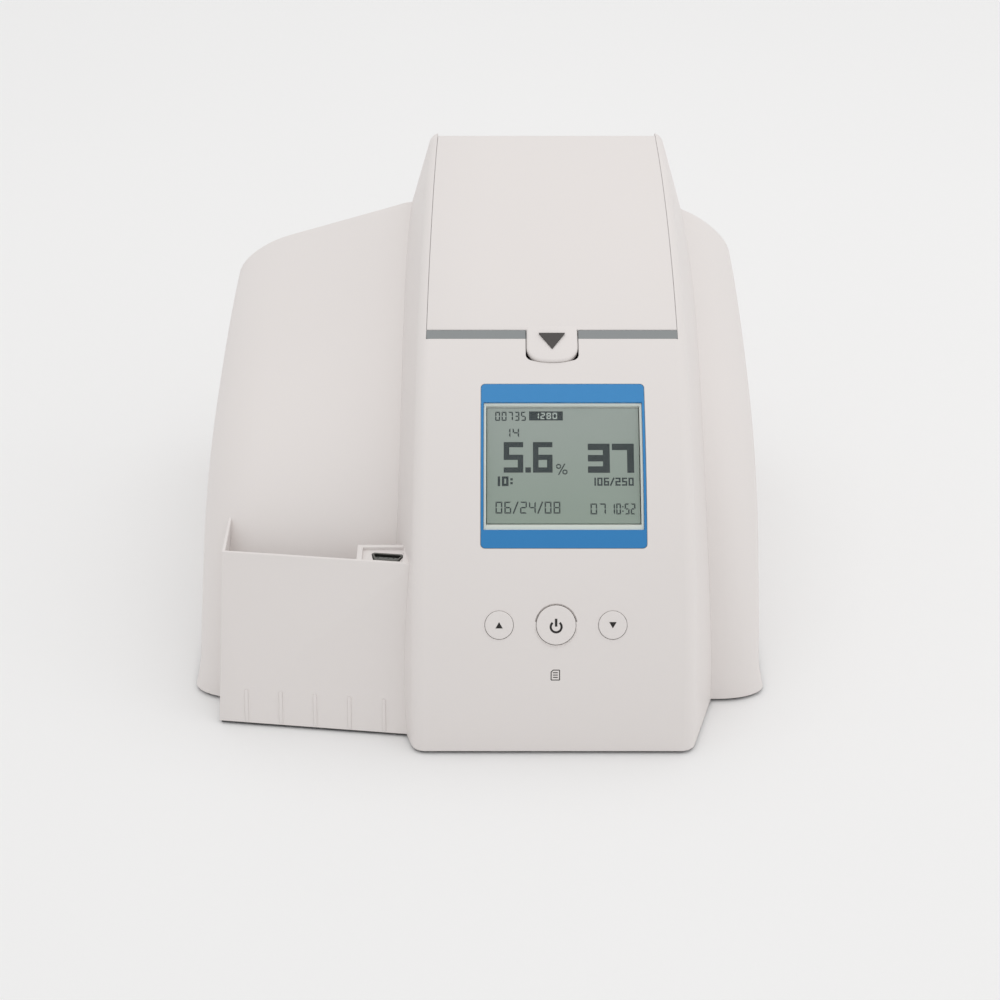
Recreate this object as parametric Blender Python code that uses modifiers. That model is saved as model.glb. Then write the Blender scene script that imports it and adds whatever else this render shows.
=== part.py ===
"""Desktop glycohemoglobin analyzer with a curved tower, a hinged lid and a printer bay.

Everything is in metres. +X is the user's right, +Y points to the back and +Z is up.
The origin is under the middle of the body, on the floor.
A "run" is a distance back from the tower's front foot, and a "depth" is measured
inward from the tower's front and top surface.
"""
import math

import bmesh
import bpy
from mathutils import Matrix, Vector

# Body
BODY_DEPTH = 0.217
BODY_HALF_WIDTH = 0.0990
FLOOR_GAP = 0.0012
WALL = 0.0022
FIT = 0.0003
FRONT_Y = -BODY_DEPTH / 2

# Front and top curve of the tower
TOWER_FROM_RIGHT = 0.0740
TOWER_X = BODY_HALF_WIDTH - TOWER_FROM_RIGHT
TOWER_HEIGHT = 0.1380
TOWER_HALF_WIDTH = 0.0466
TOWER_FOOT_ANGLE = math.radians(86)
TOWER_FOOT_HANDLE = 0.070
TOWER_CROWN_HANDLE = 0.125
TOWER_FLARE = math.radians(17)
TOWER_TAPER = 0.06
TOWER_EDGE_RADIUS = 0.005
TOWER_SIDE_DEPTH = 0.046
CROWN_RADIUS = 0.008
BACK_DRAFT = 0.007
CROWN_RUN = BODY_DEPTH - CROWN_RADIUS - TOWER_HEIGHT * BACK_DRAFT

# Wings, the lower body on both sides of the tower
WING_SETBACK = 0.0295
WING_DROP = 0.0230
WING_HEIGHT = TOWER_HEIGHT - WING_DROP
WING_FOOT_ANGLE = math.radians(86)
WING_FOOT_HANDLE = 0.058
WING_CROWN_HANDLE = 0.130
WING_LEFT_RADIUS = 0.0195
WING_RIGHT_RADIUS = 0.016
WING_LEFT_FALL = 0.28
WING_RIGHT_FALL = 0.50
WING_LEFT_FALL_BEND = 1.5
WING_RIGHT_FALL_BEND = 2.0
WING_FALL_START = 0.035
WING_LEFT_DRAFT = 0.020
WING_RIGHT_DRAFT = 0.002
WING_FLAT_START = 0.030
WING_BACK_RADIUS_RATIO = 0.55
SKIRT_HEIGHT = 0.012
SKIRT_FLARE = 0.0018

# Printer bay at the front left
BAY_FROM_LEFT = 0.0104
BAY_LEFT_X = BAY_FROM_LEFT - BODY_HALF_WIDTH
BAY_LEFT_DRAFT = 0.043
BAY_SIDE_GAP = 0.0017
BAY_RIGHT_X = TOWER_X - TOWER_HALF_WIDTH - BAY_SIDE_GAP
BAY_FRONT_RUN = 0.0088
BAY_TURN = 0.121
BAY_LEAN = math.radians(18.2)
BAY_RIM_HEIGHT = 0.0578
BAY_WALL = 0.0017
BAY_FLOOR = 0.0026
BAY_ROOT = 0.040
BAY_RIB_MARGIN = 0.0096
BAY_RIB_FIRST_X = BAY_LEFT_X + BAY_RIB_MARGIN
BAY_RIB_PITCH = 0.01175
BAY_RIB_HEIGHT = 0.0125
BAY_RIB_WIDTH = 0.0013
BAY_RIB_PROUD = 0.0004

# Connector shelf at the tower end of the bay
SHELF_WIDTH = 0.0175
SHELF_LEFT_X = BAY_RIGHT_X - SHELF_WIDTH
SHELF_BACK_RUN = 0.0400
SHELF_RECESS = 0.0010
SHELF_RIM = 0.0019
DOCK_FROM_RIGHT = 0.0073
DOCK_X = BAY_RIGHT_X - DOCK_FROM_RIGHT
DOCK_FROM_BACK = 0.0068
DOCK_RUN = SHELF_BACK_RUN - DOCK_FROM_BACK
DOCK_WIDTH = 0.0105
DOCK_DEPTH = 0.0042
DOCK_SHEET = 0.0006
DOCK_LENGTH = 0.0080

# Rows on the tower's face, as distances along the curve from its foot
BUTTON_ROW = 0.0457
BEZEL_START = 0.0711
BEZEL_END = 0.1293
WINDOW_START = 0.0772
WINDOW_END = 0.1224
VIEW_START = 0.0788
VIEW_END = 0.1214
TAB_TIP = 0.1380
FACE_END = 0.1478
LID_START = 0.1517

# Display
DISPLAY_SHIFT = 0.0033
DISPLAY_X = TOWER_X + DISPLAY_SHIFT
BEZEL_WIDTH = 0.0549
WINDOW_WIDTH = 0.0533
VIEW_WIDTH = 0.0515
BEZEL_THICKNESS = 0.0008
BEZEL_CORNER = 0.0011
FRAME_LIP = 0.0006
FRAME_FLANGE = 0.0024
FRAME_FLANGE_THICKNESS = 0.0016
LCD_THICKNESS = 0.0028
BOARD_THICKNESS = 0.0016

# Buttons: centre, radius and travel
SIDE_BUTTON_RADIUS = 0.0047
MODE_BUTTON_RADIUS = 0.0066
BUTTON_SHIFT = 0.0007
BUTTON_UP_STEP = 0.0188
BUTTON_DOWN_STEP = 0.0187
BUTTON_MODE_X = TOWER_X + BUTTON_SHIFT
BUTTON_UP_X = BUTTON_MODE_X - BUTTON_UP_STEP
BUTTON_DOWN_X = BUTTON_MODE_X + BUTTON_DOWN_STEP
BUTTON_GAP = 0.00028
BUTTON_PROUD = 0.0004
BUTTON_TRAVEL = 0.0008
BUTTON_FLANGE = 0.0011
BUTTON_FLANGE_THICKNESS = 0.0009
BUTTON_FLANGE_DEPTH = 0.0027
ARC_SLOT_WIDTH = 0.0004
MAT_DOME_HEIGHT = 0.0012
MAT_THICKNESS = 0.0012
KEY_POST_RADIUS = 0.0013

# Lid
LID_THICKNESS = 0.0022
LID_FRONT_HALF_WIDTH = 0.0428
LID_BACK_HALF_WIDTH = 0.0414
LID_SEAM = 0.0003
HINGE_FROM_BACK = 0.0120
HINGE_RUN = BODY_DEPTH - HINGE_FROM_BACK
HINGE_BARREL_END = math.radians(-20)
HINGE_PIN_RADIUS = 0.0015
HINGE_PIN_SET_IN = 0.0006
HINGE_EAR_PROUD = 0.0008
HINGE_EAR_RADIUS = 0.0045
HINGE_EAR_DROP = 0.0015
HINGE_CHEEK = 0.0025
TAB_HALF_WIDTH = 0.0088
TAB_CORNER = 0.0030
TAB_BULGE = 0.0017
TAB_GAP = 0.0005

# Deck under the lid and the cartridge drum in it
DECK_THICKNESS = 0.0020
DECK_LIP_SINK = 0.0006
DECK_LEDGE_DEPTH = 0.0029
DECK_WELL_DEPTH = 0.0160
DECK_WELL_HALF_WIDTH = 0.0385
DECK_FLANGE_SET_IN = 0.0023
DECK_FRONT_LEDGE = 0.0060
DECK_FROM_HINGE = 0.0120
DECK_END_RUN = HINGE_RUN - DECK_FROM_HINGE
LINER_THICKNESS = 0.0015
LINER_SET_IN = 0.0020
LINER_PAD_HALF_WIDTH = 0.0070
LINER_PAD_HALF_LENGTH = 0.0090
LINER_PAD_DEPTH = 0.0022
DRUM_X = TOWER_X
DRUM_FROM_HINGE = 0.0590
DRUM_RUN = HINGE_RUN - DRUM_FROM_HINGE
DRUM_HEADROOM = 0.0067
DRUM_RADIUS = 0.0200
DRUM_WIDTH = 0.0220
DRUM_CLEARANCE = 0.0012
SLOT_WIDTH = 0.0066
SLOT_LENGTH = 0.0170
SLOT_FLOOR = 0.0012
AXLE_RADIUS = 0.0030

# Gears
GEAR_MODULE = 0.0008
DRUM_TEETH = 40
PINION_TEETH = 16
PRESSURE_ANGLE = math.radians(20)
GEAR_BACKLASH = 0.00022
GEAR_WIDTH = 0.0036
PINION_DIRECTION = math.radians(-120)
PINION_BORE = 0.0012

# Chassis, motor and optics
SHEET = 0.0015
CHASSIS_HALF_WIDTH = 0.0185
CHASSIS_HALF_DEPTH = 0.0280
CHASSIS_ABOVE_AXLE = 0.0055
MOTOR_RADIUS = 0.0120
MOTOR_LENGTH = 0.0220
OPTICS_CLEARANCE = 0.0020
LENS_RADIUS = 0.0035
OPTICS_SIZE = (0.0200, 0.0240, 0.0160)

# Base
COVER_THICKNESS = 0.0026
PAD_RADIUS = 0.0070
PAD_HEIGHT = 0.0022
PAD_SIDE_SET_IN = 0.0190
PAD_FRONT_SET_IN = 0.0405
PAD_BACK_SET_IN = 0.0170
TOWER_PAD_RUN = 0.0240
SCREW_RADIUS = 0.0014
SCREW_HEAD_RADIUS = 0.0027
SCREW_HEAD_HEIGHT = 0.0012
SCREW_LENGTH = 0.0120
BOSS_RADIUS = 0.0040
BOSS_HEIGHT = 0.0180
BOSS_SINK = 0.0012
FRONT_BOSS_RADIUS = 0.0034
FRONT_BOSS_HEIGHT = 0.0160
SCREW_FRONT_SET_IN = 0.0555
SCREW_BACK_SET_IN = 0.0320
FRONT_SCREW_SPREAD = 0.0300
FRONT_SCREW_RUN = 0.0082

# Rear sockets and the main board
MAIN_BOARD_FROM_LEFT = 0.0120
MAIN_BOARD_CHASSIS_GAP = 0.0155
MAIN_BOARD_FROM_BACK = 0.0130
MAIN_BOARD_DEPTH = 0.1080
MAIN_BOARD_HEIGHT = 0.0095
BOARD_POST_RADIUS = 0.0030
BOARD_POST_SET_IN = 0.0050
JACK_FROM_LEFT = 0.0330
JACK_X = JACK_FROM_LEFT - BODY_HALF_WIDTH
PORT_FROM_LEFT = 0.0610
PORT_X = PORT_FROM_LEFT - BODY_HALF_WIDTH
SOCKET_SET_IN = 0.0006
JACK_SIZE = (0.0100, 0.0130, 0.0110)
JACK_BORE_RADIUS = 0.0032
JACK_PIN_RADIUS = 0.0010
PORT_SIZE = (0.0124, 0.0160, 0.0112)
PORT_WALL = 0.0010

# Facets of the body shells: outer skin and inner hollow
OUTER_LEVELS = [(step / 22) ** 1.2 for step in range(23)]
INNER_LEVELS = [(step / 15) ** 1.1 for step in range(16)]
OUTER_ARC_STEPS = 5
INNER_ARC_STEPS = 3
LEVEL_STEP = 0.0001
HOLLOW_BASE = -0.0050

parts = None
cutters = None


def mm(value):
    """Millimetres as metres, for small shape details."""
    return value / 1000


class SideCurve:
    """Front and top of a body as one cubic curve of run and height."""

    def __init__(self, foot_run, foot_angle, foot_handle, crown_run, height, crown_handle):
        reach = Vector((math.cos(foot_angle), math.sin(foot_angle))) * foot_handle
        foot = Vector((foot_run, 0.0))
        crown = Vector((crown_run, height))
        self.points = (foot, foot + reach, crown - Vector((crown_handle, 0.0)), crown)
        self.height = height
        samples = 800
        self.lengths = [0.0]
        last = self.at(0.0)
        for index in range(1, samples + 1):
            point = self.at(index / samples)
            self.lengths.append(self.lengths[-1] + (point - last).length)
            last = point

    def at(self, t):
        a, b, c, d = self.points
        u = 1 - t
        return a * u ** 3 + b * (3 * u * u * t) + c * (3 * u * t * t) + d * t ** 3

    def direction(self, t):
        a, b, c, d = self.points
        u = 1 - t
        slope = (b - a) * (u * u) + (c - b) * (2 * u * t) + (d - c) * (t * t)
        return slope.normalized()

    def inset(self, t, depth):
        """A point moved inward, square to the curve."""
        along = self.direction(t)
        return self.at(t) + Vector((along.y, -along.x)) * depth

    def t_at_length(self, length):
        """Curve parameter at a distance along the curve from its foot."""
        for index, reached in enumerate(self.lengths):
            if reached >= length:
                before = self.lengths[max(index - 1, 0)]
                share = (length - before) / max(reached - before, 1e-9)
                return (max(index - 1, 0) + share) / (len(self.lengths) - 1)
        return 1.0

    def length_at_run(self, run):
        steps = len(self.lengths) - 1
        for index, reached in enumerate(self.lengths):
            if self.at(index / steps).x >= run:
                return reached
        return self.lengths[-1]


def drum_height():
    """Height of the drum's axis, square below the lid at the drum, to a tenth of a millimetre."""
    surface = TOWER.at(TOWER.t_at_length(TOWER.length_at_run(DRUM_RUN))).y
    under_pad = LID_THICKNESS + FIT + LINER_THICKNESS + LINER_PAD_DEPTH
    return round(surface - under_pad - DRUM_HEADROOM - DRUM_RADIUS, 4)


TOWER = SideCurve(0.0, TOWER_FOOT_ANGLE, TOWER_FOOT_HANDLE, CROWN_RUN, TOWER_HEIGHT, TOWER_CROWN_HANDLE)
DRUM_HEIGHT = drum_height()
OPTICS_TOP = DRUM_HEIGHT - DRUM_RADIUS - OPTICS_CLEARANCE
WING = SideCurve(WING_SETBACK, WING_FOOT_ANGLE, WING_FOOT_HANDLE, CROWN_RUN, WING_HEIGHT, WING_CROWN_HANDLE)


def world(x, run, height):
    return Vector((x, FRONT_Y + run, height))


def face_point(x, length, depth):
    """World point under the tower's front and top surface."""
    point = TOWER.inset(TOWER.t_at_length(length), depth)
    return world(x, point.x, point.y)


def face_frame(x, length):
    """Matrix of a flat frame on the tower's face: X across, Y up the face, Z outward."""
    along = TOWER.direction(TOWER.t_at_length(length))
    up = Vector((0, along.x, along.y))
    out = Vector((0, -along.y, along.x))
    origin = face_point(x, length, 0)
    frame = Matrix((Vector((1, 0, 0)), up, out)).transposed().to_4x4()
    return Matrix.Translation(origin) @ frame


def make_material(name, colour, roughness, metallic=0.0):
    material = bpy.data.materials.get(name)
    if material is None:
        material = bpy.data.materials.new(name)
        material.use_nodes = True
        shader = material.node_tree.nodes["Principled BSDF"]
        shader.inputs["Base Color"].default_value = (*colour, 1.0)
        shader.inputs["Roughness"].default_value = roughness
        shader.inputs["Metallic"].default_value = metallic
    return material


def add_object(name, bm, material=None):
    """A new object from a bmesh, in the parts collection, or in the cutters if it has no material."""
    bmesh.ops.recalc_face_normals(bm, faces=bm.faces)
    mesh = bpy.data.meshes.new(name)
    bm.to_mesh(mesh)
    bm.free()
    mesh.shade_smooth()
    mesh.set_sharp_from_angle(angle=math.radians(32))
    obj = bpy.data.objects.new(name, mesh)
    if material is None:
        cutters.objects.link(obj)
        obj.hide_render = True
        obj.display_type = "WIRE"
    else:
        mesh.materials.append(material)
        parts.objects.link(obj)
    return obj


def combine(target, tool, operation):
    """Boolean on a target; the thin housing needs the solver that keeps slivers closed."""
    modifier = target.modifiers.new(operation.title() + " " + tool.name, "BOOLEAN")
    modifier.operation = operation
    modifier.solver = "MANIFOLD" if target.name == "upper_housing" else "EXACT"
    modifier.object = tool
    return target


def cut(target, *tools):
    for tool in tools:
        combine(target, tool, "DIFFERENCE")
    return target


def fuse(target, *tools):
    for tool in tools:
        combine(target, tool, "UNION")
    return target


def round_edges(obj, width, segments=2, angle=math.radians(40)):
    modifier = obj.modifiers.new("Round edges", "BEVEL")
    modifier.width = width
    modifier.segments = segments
    modifier.limit_method = "ANGLE"
    modifier.angle_limit = angle
    return obj


def box(name, low, high, material=None, frame=None):
    """A box between two corners given in world or frame coordinates."""
    low = Vector(low)
    high = Vector(high)
    bm = bmesh.new()
    bmesh.ops.create_cube(bm, size=1)
    bmesh.ops.scale(bm, vec=high - low, verts=bm.verts)
    bmesh.ops.translate(bm, vec=(low + high) / 2, verts=bm.verts)
    if frame is not None:
        bmesh.ops.transform(bm, matrix=frame, verts=bm.verts)
    return add_object(name, bm, material)


def run_box(name, x_range, run_range, height_range, material=None):
    """A box given by its ranges of x, run and height."""
    low = world(x_range[0], run_range[0], height_range[0])
    high = world(x_range[1], run_range[1], height_range[1])
    return box(name, low, high, material)


def rod(name, radius, start, end, material=None, segments=32, frame=None, tip_radius=None):
    """A round rod or cone frustum between two points."""
    start = Vector(start)
    end = Vector(end)
    axis = end - start
    bm = bmesh.new()
    bmesh.ops.create_cone(
        bm, cap_ends=True, segments=segments, radius1=radius,
        radius2=radius if tip_radius is None else tip_radius, depth=axis.length)
    turn = Vector((0, 0, 1)).rotation_difference(axis).to_matrix().to_4x4()
    bmesh.ops.transform(bm, matrix=Matrix.Translation((start + end) / 2) @ turn, verts=bm.verts)
    if frame is not None:
        bmesh.ops.transform(bm, matrix=frame, verts=bm.verts)
    return add_object(name, bm, material)


def extrude_outline(bm, outline, place, start, end):
    """Join two copies of a flat outline; place(point, level) gives each vertex."""
    rings = []
    for level in (start, end):
        rings.append([bm.verts.new(place(point, level)) for point in outline])
    count = len(outline)
    for index in range(count):
        follow = (index + 1) % count
        bm.faces.new((rings[0][index], rings[0][follow], rings[1][follow], rings[1][index]))
    bm.faces.new(rings[0])
    bm.faces.new(reversed(rings[1]))


def rounded_rectangle(low, high, radius, steps=3):
    """Outline points of a rectangle with round corners."""
    centres = (
        (high[0] - radius, high[1] - radius), (low[0] + radius, high[1] - radius),
        (low[0] + radius, low[1] + radius), (high[0] - radius, low[1] + radius))
    points = []
    for corner, centre in enumerate(centres):
        for step in range(steps + 1):
            angle = math.pi / 2 * (corner + step / steps)
            points.append((centre[0] + radius * math.cos(angle), centre[1] + radius * math.sin(angle)))
    return points


def face_plate(name, outline, top, bottom, material=None, pitch=0.008):
    """A plate whose outline of (x, length) points is bent onto the tower's curve."""
    bm = bmesh.new()
    extrude_outline(bm, outline, lambda point, depth: (point[0], point[1], depth), top, bottom)
    low = min(point[1] for point in outline)
    high = max(point[1] for point in outline)
    for index in range(1, math.ceil((high - low) / pitch)):
        geometry = bm.verts[:] + bm.edges[:] + bm.faces[:]
        bmesh.ops.bisect_plane(
            bm, geom=geometry, dist=1e-7, plane_co=(0, low + pitch * index, 0), plane_no=(0, 1, 0))
    for vertex in bm.verts:
        vertex.co = face_point(*vertex.co)
    return add_object(name, bm, material)


def face_block(name, x_range, length_range, depth_range, material=None):
    corners = [
        (x_range[0], length_range[0]), (x_range[1], length_range[0]),
        (x_range[1], length_range[1]), (x_range[0], length_range[1])]
    return face_plate(name, corners, depth_range[0], depth_range[1], material)


def ladder_solid(name, stations, material=None):
    """A closed solid through stations, each a bottom-to-top list of (front, back) points."""
    bm = bmesh.new()
    rungs = []
    for pairs in stations:
        front = [bm.verts.new(pair[0]) for pair in pairs]
        back = [bm.verts.new(pair[1]) for pair in pairs[:-1]]
        meets = (pairs[-1][0] - pairs[-1][1]).length < 1e-7
        back.append(front[-1] if meets else bm.verts.new(pairs[-1][1]))
        rungs.append((front, back))
    for (front_a, back_a), (front_b, back_b) in zip(rungs, rungs[1:]):
        for low in range(len(front_a) - 1):
            bm.faces.new((front_a[low], front_a[low + 1], front_b[low + 1], front_b[low]))
            bm.faces.new((back_a[low], back_b[low], back_b[low + 1], back_a[low + 1]))
        bm.faces.new((front_a[0], front_b[0], back_b[0], back_a[0]))
        if front_a[-1] is not back_a[-1]:
            bm.faces.new((front_a[-1], back_a[-1], back_b[-1], front_b[-1]))
    for front, back in (rungs[0], rungs[-1]):
        for low in range(len(front) - 1):
            corners = [front[low], front[low + 1], back[low + 1], back[low]]
            if front[low + 1] is back[low + 1]:
                corners.remove(back[low + 1])
            bm.faces.new(corners)
    return add_object(name, bm, material)


def body_pairs(curve, levels, depth, back_depth, base, inset, warp):
    """Front and back points of one station of a body shell."""
    top = curve.height - depth
    corner = CROWN_RADIUS - inset
    pairs = []
    for level, t in enumerate(levels):
        point = curve.inset(t, depth)
        height = max(point.y, base + LEVEL_STEP * level) if level else base
        back = BODY_DEPTH - back_depth - height * BACK_DRAFT
        above = height - (top - corner)
        if above > 0:
            back -= corner - math.sqrt(max(corner ** 2 - above ** 2, 0.0))
        back = max(back, point.x)
        if t == levels[-1]:
            back = point.x
        pairs.append((warp(point.x, height), warp(back, height)))
    return pairs


def wing_stations(inset, base, levels, arc_steps):
    """Stations of the wings from the left wall to the right wall."""
    stations = []
    sides = ((-1, WING_LEFT_RADIUS), (1, WING_RIGHT_RADIUS))
    for side, radius in sides:
        side_stations = []
        for step in range(arc_steps + 1):
            angle = math.pi / 2 * step / arc_steps
            x = BODY_HALF_WIDTH - SKIRT_FLARE - radius + (radius - inset) * math.sin(angle)
            depth = radius - (radius - inset) * math.cos(angle)
            side_stations.append((side * x, depth))
        flat_end = BODY_HALF_WIDTH - SKIRT_FLARE - radius
        for share in (0.66, 0.33, 0.0):
            side_stations.insert(0, (side * (WING_FLAT_START + (flat_end - WING_FLAT_START) * share), inset))
        if side < 0:
            side_stations.reverse()
        stations.extend(side_stations)
    solid = []
    for x, depth in stations:
        back_depth = inset + (depth - inset) * WING_BACK_RADIUS_RATIO
        solid.append(body_pairs(WING, levels, depth, back_depth, base, inset, wing_warp(x)))
    return solid


def wing_warp(x):
    """Draft, skirt and the fall of the top for points of a wing station."""
    if x < 0:
        slope, bend, draft = WING_LEFT_FALL, WING_LEFT_FALL_BEND, WING_LEFT_DRAFT
    else:
        slope, bend, draft = WING_RIGHT_FALL, WING_RIGHT_FALL_BEND, WING_RIGHT_DRAFT
    fall = max(abs(x - TOWER_X) - WING_FALL_START, 0.0) * slope / WING_HEIGHT

    def warp(run, height):
        skirt = min(max(SKIRT_HEIGHT - height, 0.0) / (SKIRT_HEIGHT - FLOOR_GAP), 1.0)
        spread = 1 - draft * height / BODY_HALF_WIDTH + SKIRT_FLARE / BODY_HALF_WIDTH * skirt ** 1.5
        share = max(height, 0.0) / WING_HEIGHT
        return world(x * spread, run, height * (1 - fall * share ** bend))

    return warp


def tower_stations(inset, base, levels, arc_steps):
    """Stations of the tower: flat face, round edges and flared side walls."""
    tangent = math.tan(TOWER_FLARE)
    cosine = math.cos(TOWER_FLARE)
    edge_x = TOWER_HALF_WIDTH + TOWER_EDGE_RADIUS * (tangent - 1 / cosine)
    half = []
    for step in range(arc_steps + 1):
        angle = (math.pi / 2 - TOWER_FLARE) * step / arc_steps
        radius = TOWER_EDGE_RADIUS - inset
        half.append((edge_x + radius * math.sin(angle), TOWER_EDGE_RADIUS - radius * math.cos(angle)))
    half.append((TOWER_HALF_WIDTH + TOWER_SIDE_DEPTH * tangent - inset / cosine, TOWER_SIDE_DEPTH))
    stations = [(-x, depth) for x, depth in reversed(half)] + half
    solid = []
    for x, depth in stations:
        warp = tower_warp(x)
        solid.append(body_pairs(TOWER, levels, depth, inset, base, inset, warp))
    return solid


def tower_warp(x):
    def warp(run, height):
        return world(TOWER_X + x * taper_at(run), run, height)

    return warp


def taper_at(run):
    """Share of its front width that the tower has at a run."""
    return 1 - TOWER_TAPER * run / BODY_DEPTH


def bay_front(x, height):
    """Run of the printer bay's front wall."""
    return BAY_FRONT_RUN + (BAY_RIGHT_X - x) * BAY_TURN + height * math.tan(BAY_LEAN)


def bay_block(name, left_inset, front_inset, right_x, back_run, low, high):
    """A block behind the bay's leaning front wall, between two heights."""
    stations = []
    for left in (True, False):
        pairs = []
        for height in (low, high):
            x = BAY_LEFT_X + left_inset + height * BAY_LEFT_DRAFT if left else right_x
            front = world(x, bay_front(x, height) + front_inset, height)
            pairs.append((front, world(x, back_run, height)))
        stations.append(pairs)
    return ladder_solid(name, stations)


def shelf_block(name, left_x, right_x, front_inset, back_run, low, high):
    stations = []
    for x in (left_x, right_x):
        pairs = []
        for height in (low, high):
            front = world(x, bay_front(x, height) + front_inset, height)
            pairs.append((front, world(x, back_run, height)))
        stations.append(pairs)
    return ladder_solid(name, stations)


def seam_half_width(length, extra):
    """Half width of the lid at a distance along the curve."""
    whole = TOWER.length_at_run(HINGE_RUN) - LID_START
    share = (length - LID_START) / whole
    return LID_FRONT_HALF_WIDTH + (LID_BACK_HALF_WIDTH - LID_FRONT_HALF_WIDTH) * share + extra


def lid_path(start, end, thickness, steps, barrel_steps):
    """(length, outer point, inner point) along the lid and round its hinge barrel."""
    path = []
    for step in range(steps + 1):
        length = start + (end - start) * step / steps
        t = TOWER.t_at_length(length)
        path.append((length, TOWER.inset(t, 0), TOWER.inset(t, thickness)))
    axis = hinge_axis()
    for step in range(1, barrel_steps + 1):
        angle = math.pi / 2 + (HINGE_BARREL_END - math.pi / 2) * step / barrel_steps
        ray = Vector((math.cos(angle), math.sin(angle)))
        path.append((end, axis + ray * CROWN_RADIUS, axis + ray * (CROWN_RADIUS - thickness)))
    return path


def hinge_axis():
    """Run and height of the lid's hinge axis."""
    return Vector((HINGE_RUN, TOWER_HEIGHT - CROWN_RADIUS))


def tongue_outline(half_width, tip, root, corner, bulge, steps=4):
    """Outline of the lid's finger tab: straight sides, round corners, bowed end."""
    points = [(half_width, root), (half_width, (root + tip + corner) / 2)]
    for side in (1, -1):
        arc = []
        for step in range(steps + 1):
            angle = -math.pi / 2 * step / steps
            x = half_width - corner + corner * math.cos(angle)
            y = tip + bulge + corner + corner * math.sin(angle)
            bow = bulge * (1 - (x / half_width) ** 2)
            arc.append((side * x, y - bow))
        if side < 0:
            arc.reverse()
            for share in (0.5, 0.0, -0.5):
                x = share * (half_width - corner)
                points.append((x, tip + bulge - bulge * (1 - (x / half_width) ** 2)))
        points.extend(arc)
    points.extend([(-half_width, (root + tip + corner) / 2), (-half_width, root)])
    return [(TOWER_X + x, y) for x, y in points]


def gear_outline(teeth, phase, backlash):
    """Outline points of a spur gear with flanks read from the involute."""
    pitch_radius = GEAR_MODULE * teeth / 2
    base_radius = pitch_radius * math.cos(PRESSURE_ANGLE)

    def involute(radius):
        ratio = min(base_radius / radius, 1.0)
        angle = math.acos(ratio)
        return math.tan(angle) - angle

    def half_angle(radius):
        at_pitch = math.pi / (2 * teeth) - backlash / (2 * pitch_radius)
        return at_pitch + involute(pitch_radius) - involute(max(radius, base_radius))

    root = pitch_radius - 1.25 * GEAR_MODULE
    tip = pitch_radius + 0.95 * GEAR_MODULE
    flank = (root, tip)
    points = []
    for tooth in range(teeth):
        centre = phase + 2 * math.pi * tooth / teeth
        for radius in flank:
            points.append((radius, centre - half_angle(radius)))
        for radius in reversed(flank):
            points.append((radius, centre + half_angle(radius)))
    return [(radius * math.cos(angle), radius * math.sin(angle)) for radius, angle in points]


def gear_solid(name, outline, x_range, centre, material):
    """A gear about an axis along X; outline points are in the run and height plane."""
    bm = bmesh.new()

    def place(point, x):
        return world(x, centre.x + point[0], centre.y + point[1])

    extrude_outline(bm, outline, place, x_range[0], x_range[1])
    return add_object(name, bm, material)


def make_shell(name, material):
    """The upper housing before its openings: outer skin less the hollow inside."""
    outer = (0.0, FLOOR_GAP, OUTER_LEVELS, OUTER_ARC_STEPS)
    shell = ladder_solid(name, wing_stations(*outer), material)
    tower = ladder_solid("tower_skin", tower_stations(*outer))
    fuse(shell, tower, make_bay())
    inner = (WALL, HOLLOW_BASE, INNER_LEVELS, INNER_ARC_STEPS)
    hollow = ladder_solid("wing_hollow", wing_stations(*inner))
    tower_hollow = ladder_solid("tower_hollow", tower_stations(*inner))
    return cut(shell, hollow, tower_hollow)


def make_bay():
    """The open printer bay with its connector shelf."""
    behind = bay_front(BAY_LEFT_X, BAY_RIM_HEIGHT) + BAY_ROOT
    right = BAY_RIGHT_X + mm(5)
    bay = bay_block("bay_walls", 0.0, 0.0, right, behind, FLOOR_GAP, BAY_RIM_HEIGHT)
    over = BAY_RIM_HEIGHT + mm(3)
    floor = FLOOR_GAP + BAY_FLOOR
    inset = BAY_WALL / math.cos(BAY_LEAN)
    space = bay_block("bay_space", BAY_WALL, inset, SHELF_LEFT_X, behind + mm(5), floor, over)
    gap = run_box(
        "bay_gap_behind_shelf", (SHELF_LEFT_X - mm(2), right + mm(5)),
        (SHELF_BACK_RUN, behind + mm(5)), (floor, over))
    return cut(bay, space, gap)


def cut_shelf(shell):
    """Hollow the shelf from inside, sink its top and open the socket hole."""
    wall = BAY_WALL / math.cos(BAY_LEAN)
    recess_floor = BAY_RIM_HEIGHT - SHELF_RECESS
    recess = shelf_block(
        "shelf_recess", SHELF_LEFT_X + SHELF_RIM, BAY_RIGHT_X - SHELF_RIM, wall,
        SHELF_BACK_RUN - SHELF_RIM, recess_floor, BAY_RIM_HEIGHT + mm(2))
    under = recess_floor - WALL
    hollow = shelf_block(
        "shelf_hollow", SHELF_LEFT_X + WALL, BAY_RIGHT_X - mm(1.5), wall,
        SHELF_BACK_RUN - WALL, FLOOR_GAP + BAY_FLOOR, under)
    socket = dock_outline_solid("dock_hole", FIT, under - mm(1), recess_floor + mm(1))
    return cut(shell, recess, hollow, socket)


def dock_outline(grow):
    """D-shaped outline, wider at the back, about the dock connector's centre."""
    back = DOCK_WIDTH / 2 + grow
    front = back - mm(1.1)
    half = DOCK_DEPTH / 2 + grow
    chamfer = mm(0.6)
    return [
        (-front + chamfer, -half), (front - chamfer, -half), (front, -half + chamfer),
        (back, half - chamfer), (back - chamfer, half), (-back + chamfer, half),
        (-back, half - chamfer), (-front, -half + chamfer)]


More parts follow.
